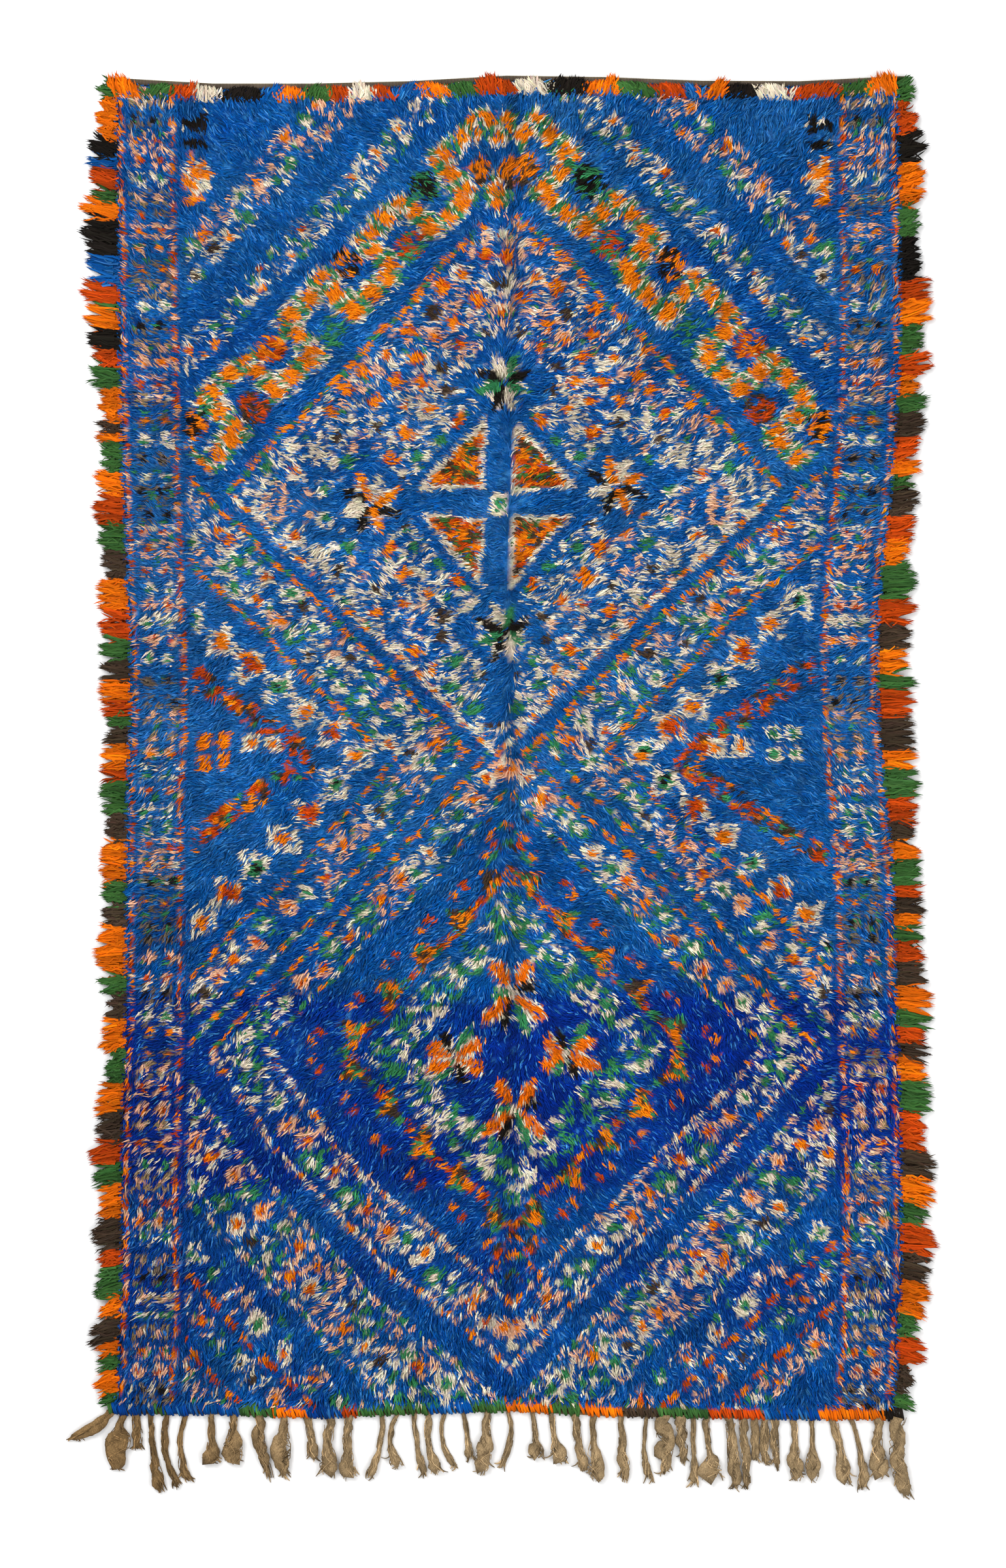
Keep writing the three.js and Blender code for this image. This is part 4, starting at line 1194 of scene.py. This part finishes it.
def make_side_tufts(name, side, edges, tips, blocks, seed):
    """Paths from the selvedge to the ragged tips, with a wave of half a turn or so on the way."""
    chance = np.random.default_rng(seed)
    v = np.sort(chance.uniform(0, 1, TUFT_YARNS))
    edge_u = 0.0 if side < 0 else 1.0
    y = field_point(np.full(TUFT_YARNS, edge_u), v)[1]
    distance = along(TOP, edge_u) - 10 - y + chance.normal(0, 2.5, TUFT_YARNS)
    bulge, block = block_bulge(blocks, distance)
    clump = np.floor(y / TUFT_CLUMP + 0.3 * chance.normal(0, 1, TUFT_YARNS))
    ragged = cell_chance(clump, clump * 0, seed % 50)
    reach = side * along(tips, v) - 13 + 12 * bulge + 12 * ragged
    reach = reach + 26 * (cell_chance(block, block * 0, 9) - 0.5) + chance.uniform(-18, 3, TUFT_YARNS)
    start = side * along(edges, v) + chance.uniform(-8, 14, TUFT_YARNS)
    middle = (clump + 0.5) * TUFT_CLUMP
    fan = TUFT_FAN * (2 * v - 1) * (reach - start) + 14 * (cell_chance(clump, clump * 0, 77) - 0.5)
    end_y = y + (middle - y) * 0.8 + fan + chance.normal(0, 2.2, TUFT_YARNS)
    step = TUFT_STEPS[None, :]
    wave = chance.normal(0, 3.0, (TUFT_YARNS, 1)) * np.sin(step * chance.uniform(4, 9, (TUFT_YARNS, 1)))
    path_x = side * (start[:, None] + (reach - start)[:, None] * step)
    path_y = y[:, None] + (end_y - y)[:, None] * step ** 1.2 + wave
    lift = chance.uniform(0.3, 1.0, (TUFT_YARNS, 1))
    path_z = 2.8 + lift * (19 - 2 * step - 10 * step ** 3)
    path = np.stack([path_x, path_y, path_z], axis=-1)
    half = 0.5 * TUFT_WIDTH * chance.uniform(0.7, 1.3, (TUFT_YARNS, 1)) * (1.0 - 0.4 * step)
    roll = chance.normal(0, 0.3, (TUFT_YARNS, 1)) + 0 * step
    dye_and_painted_shade = lock_colours(block_yarn(blocks, distance), path_x[:, 0], y, chance)
    # Painted shade and light: yarns that lie lower are painted darker, as in the shade of those above, and each yarn
    # is painted lighter towards its tip.
    shade = (0.18 + 0.78 * lift) * (0.8 + 0.28 * step)
    return lay_ribbons(name, path, half, roll, dye_and_painted_shade[:, None, :] * shade[..., None], TUFT_WOOL)


left_tufts = make_side_tufts("selvedge_tufts_left", -1, LEFT, LEFT_TIPS, LEFT_BLOCKS, 301)
right_tufts = make_side_tufts("selvedge_tufts_right", 1, RIGHT, RIGHT_TIPS, RIGHT_BLOCKS, 302)

# %% [markdown]
# ## The heading
# The far end is closed by a narrow flat weave in undyed wool, turned over at its edge. Its wefts
# make fine ribs across it. The surface is a rounded profile carried along the end of the field,
# rippled by the ribs; the outermost cord is an olive selvage cord.

# %% Heading weave
HEADING_DEPTH = 13
HEADING_HEIGHT = 9
SELVEDGE_WIDTH = 18
HEADING_RIBS = 4.6
HEADING_COLUMNS = 620


def band_along_end(row, start, depth, height, columns, ripple):
    """Half-round profile from start to start + depth beyond an end, rippled along its run."""
    run = np.linspace(along(LEFT, row) - SELVEDGE_WIDTH, along(RIGHT, row) + SELVEDGE_WIDTH, columns)
    u = np.clip((run - along(LEFT, row)) / (along(RIGHT, row) - along(LEFT, row)), 0, 1)
    outward = 1 if row > 0 else -1
    end = along(TOP if row > 0 else BOTTOM, u)
    turn = np.linspace(0, math.pi, 12)
    across = start + depth * (0.5 - 0.5 * np.cos(turn))
    crown = height * np.sin(turn) ** 0.45 * (1 - ripple(run)[:, None] * np.sin(turn))
    x = np.repeat(run[:, None], 12, axis=1)
    y = end[:, None] + outward * across[None, :] + 0 * x
    return np.stack([x, y, np.maximum(crown, 0)], axis=-1), run


def strip_faces(columns, rows, flip):
    """Quads of a grid closed by its underside, with both ends capped."""
    i, j = np.meshgrid(np.arange(columns - 1), np.arange(rows), indexing="ij")
    low, after = (i * rows + j).ravel(), (i * rows + (j + 1) % rows).ravel()
    quads = np.stack([low, low + rows, after + rows, after], axis=-1)
    first, last = np.arange(rows), (columns - 1) * rows + np.arange(rows)
    caps = [first, last[::-1]]
    if flip:
        quads, caps = quads[:, ::-1], [cap[::-1] for cap in caps]
    corners = np.concatenate([quads.ravel(), *caps])
    return corners, np.concatenate([np.full(len(quads), 4), [rows, rows]])


def make_heading():
    ribs = lambda run: 0.08 + 0.06 * np.sin(2 * math.pi * run / HEADING_RIBS)
    points, run = band_along_end(1, 0.4, HEADING_DEPTH, HEADING_HEIGHT, HEADING_COLUMNS, ribs)
    tone = 0.6 + 0.1 * np.sin(2 * math.pi * run / HEADING_RIBS)[:, None] * np.ones((1, 12))
    tone = tone + 0.18 * soft_noise(run, 0 * run, 30, 6)[:, None]
    colours = PALETTE[GREY][None, None, :] * tone[..., None]
    olive = linear_light(np.array([142, 128, 84]) / 255)
    colours[:, 9:] = olive * tone[:, 9:, None]
    corners, sizes = strip_faces(HEADING_COLUMNS, 12, False)
    return lay_mesh("heading_weave", points, corners, sizes, HEADING_WOOL, colours)


heading = make_heading()

# %% [markdown]
# The last rows of knots at the heading are blocks of one colour each, with curly ends that stand up
# over the weave here and there.

# %% Heading tufts
W = CREAM
TOP_BLOCKS = (
    (O, 65), (G, 55), (R, 55), (W, 60), (K, 80), (B, 40), (O, 55), (G, 55), (R, 50), (W, 50),
    (R, 40), (B, 55), (O, 70), (G, 60), (R, 80), (W, 70), (K, 70), (O, 80), (G, 80), (R, 65),
    (B, 30), (O, 40), (K, 80), (W, 70), (R, 95), (G, 70), (O, 75), (G, 40))
TOP_YARNS = 5000
TOP_STEPS = np.array([0.0, 0.28, 0.55, 0.8, 1.0])
TOP_WIDTH = 4.0


def make_heading_tufts():
    """Curly paths from the last rows of knots up over the weave. The yarns of a block lean together
    and are longest at its middle; a few clumps, and those at the corners, reach past the edge."""
    chance = np.random.default_rng(310)
    u = chance.uniform(0, 1, TOP_YARNS)
    x = field_point(u, np.ones(TOP_YARNS))[0]
    edge = along(TOP, u)
    bulge, block = block_bulge(TOP_BLOCKS, x + 850 + chance.normal(0, 3, TOP_YARNS))
    start_y = edge + chance.uniform(-32, -16, TOP_YARNS)
    clump = np.floor(x / 19)
    proud = np.maximum(cell_chance(clump, clump * 0, 21) - 0.7, 0) / 0.3
    proud = np.maximum(proud, smooth_step(np.abs(u - 0.5), 0.465, 0.49))
    over = -5 + 14 * np.sqrt(bulge) - chance.uniform(0, 11, TOP_YARNS) + proud * chance.uniform(0, 24, TOP_YARNS)
    sideways = chance.normal(0, 5, TOP_YARNS) + 40 * (cell_chance(block, block * 0, 22) - 0.5)
    step = TOP_STEPS[None, :]
    wave = chance.normal(0, 2.6, (TOP_YARNS, 1)) * np.sin(step * 6.5 + chance.uniform(0, 6, (TOP_YARNS, 1)))
    path_x = x[:, None] + sideways[:, None] * step + wave
    path_y = start_y[:, None] + (edge + over - start_y)[:, None] * step
    lift = chance.uniform(0.4, 1, (TOP_YARNS, 1))
    path_z = 4 + lift * (16 + 7 * np.sin(step * 2.2) - 6 * step)
    path = np.stack([path_x, path_y, path_z], axis=-1)
    half = 0.5 * TOP_WIDTH * chance.uniform(0.7, 1.3, (TOP_YARNS, 1)) * (1.0 - 0.4 * step)
    roll = chance.normal(0, 0.3, (TOP_YARNS, 1)) + 0 * step
    yarn = block_yarn(TOP_BLOCKS, x + 850 + chance.normal(0, 3, TOP_YARNS))
    dye_and_painted_shade = lock_colours(yarn, x, start_y, chance)
    # Painted shade and light: yarns that lie lower are painted darker, as in the shade of those above, and each yarn
    # is painted lighter towards its tip.
    shade = (0.35 + 0.7 * lift) * (0.7 + 0.38 * step)
    return lay_ribbons("heading_tufts", path, half, roll, dye_and_painted_shade[:, None, :] * shade[..., None], TUFT_WOOL)


heading_tufts = make_heading_tufts()

# %% [markdown]
# ## The overcast end
# At the fringe end the rug is closed by overcasting: wool is wound round the edge, stitch beside
# stitch, in blocks of colour. Each stitch is a cord on a half ellipse from the pile, over the edge
# and down to the floor.

# %% Overcast stitches
END_BLOCKS = (
    (G, 25), (B, 90), (G, 20), (B, 160), (G, 75), (O, 70), (B, 80), (R, 35), (G, 145), (B, 90),
    (G, 75), (O, 95), (G, 70), (O, 85), (N, 70), (G, 115), (R, 120), (B, 115), (O, 145), (K, 65))
BINDING_DEPTH = 19
BINDING_HEIGHT = 16
STITCH_PITCH = 4.6
STITCH_STEPS = 7
STITCH_DEPTH = 31


def make_overcast():
    """Half ellipses over the edge, side by side, each leaning a little and no two alike."""
    chance = np.random.default_rng(320)
    west, east = LEFT[0] - SELVEDGE_WIDTH, RIGHT[0] + SELVEDGE_WIDTH
    count = round((east - west) / STITCH_PITCH)
    x = west + (np.arange(count) + 0.5) * (east - west) / count + chance.normal(0, 0.9, count)
    u = np.clip((x - LEFT[0]) / (RIGHT[0] - LEFT[0]), 0, 1)
    turn = np.linspace(0.12, math.pi - 0.1, STITCH_STEPS)[None, :]
    tall = BINDING_HEIGHT - 5.5 + chance.uniform(-1.5, 1.5, (count, 1))
    deep = STITCH_DEPTH + chance.uniform(-2, 4, (count, 1))
    path_y = along(BOTTOM, u)[:, None] - 0.4 + 3 - (deep + 1) * (0.5 - 0.5 * np.cos(turn))
    path_z = 3.2 + tall * np.sin(turn) ** 0.7
    slant = chance.normal(-5, 2.5, (count, 1)) * np.cos(turn)
    path = np.stack([x[:, None] + slant, path_y, path_z], axis=-1)
    width = np.full((count, STITCH_STEPS), 1.0) * chance.uniform(5.4, 7.4, (count, 1))
    yarn = block_yarn(END_BLOCKS, x + 874 + chance.normal(0, 4, count))
    dye_and_painted_shade = lock_colours(yarn, x, path_y[:, 0], chance)
    # Painted shade and light: each stitch is painted darker where it goes into the pile and down to the floor, and
    # lighter over the crest of the edge.
    shade = 0.55 + 0.5 * np.sin(turn)
    return lay_cords("overcast_stitches", path, width, width * 0.8, 4,
                     dye_and_painted_shade[:, None, :] * shade[..., None], BINDING_WOOL)


overcast = make_overcast()

# %% [markdown]
# ## The warp fringe
# The warps hang out as felted cords: a stem that swells into a head of loose curls, some with
# frayed ends. Every cord lies on the floor in its own way, so each has a row of measures, as in the
# solids. A cord is an ellipse carried along a bent path, with lobes that wind round it like the
# plies of a yarn.

# %% Measures of the fringe
# Millimetres: root, swing and tip across; run, stem, head, place of the head, end, number of frays.
STRANDS = np.array([
    (-853, -888, -949, 56, 22, 26, 0.5, 9, 0), (-827, -838, -843, 122, 14, 52, 0.5, 6, 0),
    (-803, -797, -797, 74, 18, 20, 0.6, 15, 0), (-767, -762, -742, 175, 12, 25, 0.8, 12, 0),
    (-731, -737, -704, 161, 13, 17, 0.85, 13, 0), (-690, -705, -684, 147, 10, 22, 0.85, 18, 0),
    (-641, -638, -640, 105, 15, 38, 0.92, 36, 2), (-590, -592, -591, 101, 17, 40, 0.7, 30, 0),
    (-535, -532, -507, 136, 20, 23, 0.5, 8, 0), (-478, -487, -481, 133, 18, 38, 0.5, 10, 0),
    (-431, -424, -419, 92, 16, 22, 0.8, 14, 0), (-384, -386, -386, 124, 20, 36, 0.8, 30, 2),
    (-340, -347, -337, 132, 18, 30, 0.8, 26, 2), (-270, -277, -304, 137, 12, 20, 0.85, 16, 0),
    (-234, -254, -236, 112, 10, 28, 0.9, 26, 3), (-204, -195, -179, 137, 11, 15, 0.85, 10, 0),
    (-167, -172, -147, 128, 13, 29, 0.9, 25, 2), (-134, -142, -108, 122, 9, 14, 0.8, 7, 0),
    (-97, -89, -83, 102, 10, 18, 0.85, 16, 2), (-43, -50, -57, 130, 16, 34, 0.62, 24, 2),
    (-1, 4, -20, 125, 11, 14, 0.7, 5, 0), (52, 58, 61, 98, 11, 33, 0.9, 30, 3),
    (94, 98, 114, 104, 12, 33, 0.9, 29, 3), (146, 150, 161, 122, 16, 25, 0.8, 15, 0),
    (183, 183, 194, 145, 13, 35, 0.72, 15, 0), (242, 246, 252, 145, 13, 24, 0.68, 6, 0),
    (300, 293, 303, 136, 9, 17, 0.85, 14, 2), (332, 337, 335, 126, 30, 35, 0.4, 9, 0),
    (370, 375, 375, 98, 24, 20, 0.6, 8, 0), (399, 398, 402, 148, 10, 20, 0.85, 15, 0),
    (427, 430, 440, 128, 13, 44, 0.9, 38, 3), (476, 483, 490, 154, 20, 26, 0.65, 12, 0),
    (504, 508, 516, 155, 17, 18, 0.6, 11, 0), (531, 530, 530, 92, 17, 17, 0.5, 11, 0),
    (551, 551, 553, 100, 17, 18, 0.5, 12, 0), (571, 572, 576, 106, 17, 18, 0.5, 11, 0),
    (615, 617, 622, 135, 13, 29, 0.75, 16, 0), (656, 653, 655, 135, 10, 29, 0.75, 16, 0),
    (697, 713, 728, 140, 17, 29, 0.8, 18, 0), (735, 757, 760, 155, 10, 22, 0.8, 10, 0),
    (794, 794, 796, 124, 20, 40, 0.8, 30, 2), (840, 836, 858, 166, 30, 33, 0.5, 28, 3),
])
ROOT_X, SWING, TIP_X, RUN, STEM, HEAD, HEAD_AT, END_WIDTH, FRAYS = (
    column[:, None] for column in STRANDS.T)
FRINGE_STRIP = 11
STRIP_EDGE = (np.interp((ROOT_X - LEFT[0]) / (RIGHT[0] - LEFT[0]), np.linspace(0, 1, len(BOTTOM)), BOTTOM)
              - BINDING_DEPTH - FRINGE_STRIP - 0.7)


def strand_width(place):
    """Stem, then an S-curve up to the head, then a square curve down to the end."""
    swell = smooth_step(place, np.maximum(HEAD_AT - 0.35, 0.05), HEAD_AT)
    shrink = np.clip((place - HEAD_AT) / (1 - HEAD_AT), 0, 1) ** 2
    return STEM + (HEAD - STEM) * swell + (END_WIDTH - HEAD) * shrink


def strand_path(place):
    """Bent line from the root to the tip, through the swing at half way."""
    pull = 2 * SWING - (ROOT_X + TIP_X) / 2
    x = (1 - place) ** 2 * ROOT_X + 2 * place * (1 - place) * pull + place ** 2 * TIP_X
    return x, STRIP_EDGE + 6 - (RUN + 6) * place


print("Fringe cords:", len(STRANDS), "longest in mm:", int(RUN.max()))

# %% Fringe cords
STRAND_STEPS = 26
STRAND_SIDES = 14
STRAND_FLATNESS = 0.55
STRAND_END = 0.9
STRAND_HEIGHTS = (5, 17)


def fringe_dye(x, y, seed):
    """Undyed warp: browner at the left, with paler and darker felt in soft patches."""
    brown = linear_light(np.array([120, 95, 62]) / 255)
    left = smooth_step(-x, 250, 800)[..., None]
    colours = PALETTE[TAUPE] * (1 - left) + brown * left
    patches = 1 + 0.35 * soft_noise(x, y, 9, seed) + 0.3 * soft_noise(x, y, 28, seed + 1)
    return colours * patches[..., None]


def make_fringe_cords():
    """Lobed ellipses along the paths: the radius swings with the turn and winds along the cord."""
    place = np.linspace(0, STRAND_END, STRAND_STEPS)[None, :]
    x, y = strand_path(place)
    width = strand_width(place)
    height = np.clip(width * STRAND_FLATNESS, *STRAND_HEIGHTS)
    width = width * (0.9 + 0.24 * soft_noise(ROOT_X + 0 * y, y, 13, 51))
    x = x + 0.3 * width * soft_noise(ROOT_X + 0 * y, y, 19, 52)
    path = np.stack([x, y, height / 2], axis=-1)
    points = cords(path, width, height, STRAND_SIDES)
    centre = np.repeat(path, STRAND_SIDES, axis=1)
    ring = points[:, :-1] - centre
    turn = np.tile(np.arange(STRAND_SIDES) * 2 * math.pi / STRAND_SIDES, STRAND_STEPS)[None, :]
    twist = np.repeat(place * RUN / 9, STRAND_SIDES, axis=1)
    lobes = 1 + 0.10 * np.cos(3 * turn + twist) + 0.12 * soft_noise(
        points[:, :-1, 0] * 1.7 + turn * 9, points[:, :-1, 1], 7, 30)
    points[:, :-1] = centre + ring * np.clip(lobes, 0.8, 1.16)[..., None]
    points[..., 2] = np.maximum(points[..., 2], 0)
    colours = fringe_dye(points[..., 0], points[..., 1], 31)
    # Painted shade: each cord is painted darker low down near the floor and lighter on its top.
    colours *= (0.62 + 0.45 * np.clip(points[..., 2] / 14, 0, 1))[..., None]
    corners, sizes = repeat_faces(len(STRANDS), STRAND_STEPS * STRAND_SIDES + 1,
                                  *cord_faces(STRAND_STEPS, STRAND_SIDES))
    return lay_mesh("fringe_cords", points, corners, sizes, FRINGE_WOOL, colours)


fringe = make_fringe_cords()

# %% [markdown]
# Loose yarns lie over the cords: most follow the stem, those on the head curl more, and the last
# ones run out as frayed fingers. They are thin cords again, with a wave that grows with the width.

# %% Fringe curls
CURLS_EACH = 24
FINGERS_EACH = 7
CURL_STEPS = 7
CURL_WIDTH = 2.4
FINGER_WIDTH = 5.6
FINGER_REACH = (10, 26)


def curl_paths(chance):
    """Thin cords at random places across each strand, waving more where the strand is wider."""
    begin = chance.uniform(0.0, 0.7, (len(STRANDS), 1))
    end = np.minimum(begin + chance.uniform(0.2, 0.5, begin.shape), 0.97)
    place = begin + (end - begin) * np.linspace(0, 1, CURL_STEPS)[None, :]
    x, y = strand_path(place)
    body = strand_width(place)
    bend = chance.uniform(5, 12, begin.shape)
    wave = 0.02 * body * np.sin(place * RUN / bend + chance.uniform(0, 6, begin.shape))
    across = np.clip(chance.uniform(-0.95, 0.95, begin.shape) + wave, -1.02, 1.02)
    height = np.clip(body * STRAND_FLATNESS, *STRAND_HEIGHTS)
    z = 0.5 * height * (1 + np.sqrt(np.maximum(1 - across ** 2, 0)))
    path = np.stack([x + 0.5 * body * across, y, np.clip(z, CURL_WIDTH / 2, 17.5)], axis=-1)
    width = CURL_WIDTH * chance.uniform(0.6, 1.3, begin.shape) * np.ones((1, CURL_STEPS))
    return path, width


def finger_paths(chance):
    """Tapered cords that leave the end of each strand in a fan and bend a little on their way."""
    begin = chance.uniform(0.78, 0.93, (len(STRANDS), 1))
    x, y = strand_path(begin)
    body = strand_width(begin)
    across = chance.uniform(-0.8, 0.8, begin.shape)
    reach = chance.uniform(*FINGER_REACH, begin.shape) * (0.75 + 0.2 * FRAYS)
    reach = np.minimum(reach, (1.06 - begin) * RUN)
    step = np.linspace(0, 1, CURL_STEPS)[None, :]
    turn = 0.6 * across + chance.normal(0, 0.4, begin.shape) * step
    height = np.clip(body * STRAND_FLATNESS, *STRAND_HEIGHTS)
    path = np.stack([x + 0.5 * body * across + reach * step * np.sin(turn),
                     y - reach * step * np.cos(turn),
                     np.maximum(0.6 * height * (1 - 0.7 * step), FINGER_WIDTH / 2)], axis=-1)
    width = FINGER_WIDTH * chance.uniform(0.7, 1.4, begin.shape) * (1 - 0.6 * step)
    return path, width


def make_fringe_curls():
    chance = np.random.default_rng(330)
    rows = [curl_paths(chance) for number in range(CURLS_EACH)]
    rows += [finger_paths(chance) for number in range(FINGERS_EACH)]
    path, width = (np.concatenate(parts) for parts in zip(*rows))
    colours = fringe_dye(path[..., 0], path[..., 1], 36)
    colours *= np.exp(chance.normal(0.1, 0.38, (len(path), 1, 1)))
    return lay_cords("fringe_curls", path, width, width, 3, colours, CURL_WOOL)


curls = make_fringe_curls()

# %% [markdown]
# A narrow web of undyed weft holds the warps together between the overcast end and the fringe.

# %% Fringe web
WEB_COLUMNS = 520
WEB_HEIGHT = 4.5


def make_fringe_web():
    warps = lambda run: 0.22 + 0.20 * np.sin(2 * math.pi * run / 10.5) + 0.1 * soft_noise(run, 0 * run, 16, 40)
    points, run = band_along_end(0, BINDING_DEPTH + 0.7, FRINGE_STRIP, WEB_HEIGHT, WEB_COLUMNS, warps)
    colours = fringe_dye(points[..., 0], points[..., 1], 41) * 0.85
    corners, sizes = strip_faces(WEB_COLUMNS, 12, True)
    return lay_mesh("fringe_web", points, corners, sizes, FRINGE_WOOL, colours)


web = make_fringe_web()

# %% [markdown]
# ## What each piece stands for
# Every piece moves with the one body of this part and takes the place of a solid of the imported
# model; the table also names a material slot for each. The ground sheet is the cloth itself, laid on
# the floor; all else is tied or sewn to it.

# %% Pieces on the body
PIECES = (
    (ground, "pile_field", "pile_wool"), (pile_mat, "pile_field", "pile_wool"),
    *((band, "pile_field", "pile_wool") for band in pile),
    (left_tufts, "selvedge_left", "tuft_wool"), (right_tufts, "selvedge_right", "tuft_wool"),
    (heading, "top_heading", "heading_weave"), (heading_tufts, "top_heading", "tuft_wool"),
    (overcast, "end_binding", "binding_wool"), (fringe, "warp_fringe", "fringe_wool"),
    (curls, "warp_fringe", "fringe_wool"), (web, "warp_fringe", "fringe_wool"))
for piece, node, slot in PIECES:
    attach(piece, "root")
    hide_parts(node)
print("Pieces declared:", len(PIECES))

# %% [markdown]
# ## Floor, light and camera
# The rug lies on a plain white floor and is seen from straight above. A wide soft light a little to
# one side shapes the locks, and an even white surround keeps the shadows open, as in a studio.

# %% Studio
FLOOR_DROP = 1.0
FLOOR_HALF = 9000


def make_floor():
    material = bpy.data.materials.new("studio floor")
    material.use_nodes = True
    shader = material.node_tree.nodes["Principled BSDF"]
    shader.inputs["Base Color"].default_value = (0.93, 0.93, 0.93, 1)
    shader.inputs["Roughness"].default_value = 0.9
    mesh = bpy.data.meshes.new("floor")
    corners = [(-1, -1), (1, -1), (1, 1), (-1, 1)]
    mesh.from_pydata([(a * FLOOR_HALF * MM, b * FLOOR_HALF * MM, -FLOOR_DROP * MM) for a, b in corners],
                     [], [(0, 1, 2, 3)])
    mesh.materials.append(material)
    floor = bpy.data.objects.new("floor", mesh)
    bpy.context.scene.collection.objects.link(floor)
    return floor


floor = make_floor()


def soft_light(name, place, aim, size, power):
    """A square area light at a place, turned so that it shines at the aim."""
    data = bpy.data.lights.new(name, "AREA")
    data.size = size
    data.energy = power
    light = bpy.data.objects.new(name, data)
    bpy.context.scene.collection.objects.link(light)
    reach = np.array(aim) - np.array(place)
    flat = math.hypot(reach[0], reach[1])
    light.location = place
    light.rotation_euler = (math.atan2(flat, -reach[2]), 0, math.atan2(reach[1], reach[0]) - math.pi / 2)
    return light


soft_light("key", (-3.2, 2.6, 4.6), (0, 0, 0), 3.2, 250)
soft_light("fill", (3.6, -2.0, 5.0), (0, 0, 0), 3.5, 130)
world = bpy.data.worlds.new("studio")
bpy.context.scene.world = world
world.use_nodes = True
world.node_tree.nodes["Background"].inputs["Color"].default_value = (1, 1, 1, 1)
world.node_tree.nodes["Background"].inputs["Strength"].default_value = 0.7
bpy.context.scene.view_settings.view_transform = "Standard"
print("Lights:", len(bpy.data.lights))

# %% Camera
PHOTO_WIDTH, PHOTO_HEIGHT = 1540, 2400
MM_TO_A_PIXEL = 1.4
VIEW_CENTRE = (-0.011, -0.083)
LENS = 85.0
SENSOR = 36.0

camera_data = bpy.data.cameras.new("camera")
camera_data.lens = LENS
camera_data.sensor_width = SENSOR
camera = bpy.data.objects.new("camera", camera_data)
bpy.context.scene.collection.objects.link(camera)
view_length = PHOTO_HEIGHT * MM_TO_A_PIXEL * MM
camera.location = (*VIEW_CENTRE, view_length * LENS / SENSOR + PILE_HEIGHT * MM)
bpy.context.scene.camera = camera
print("Camera height in metres:", round(camera.location.z, 2))
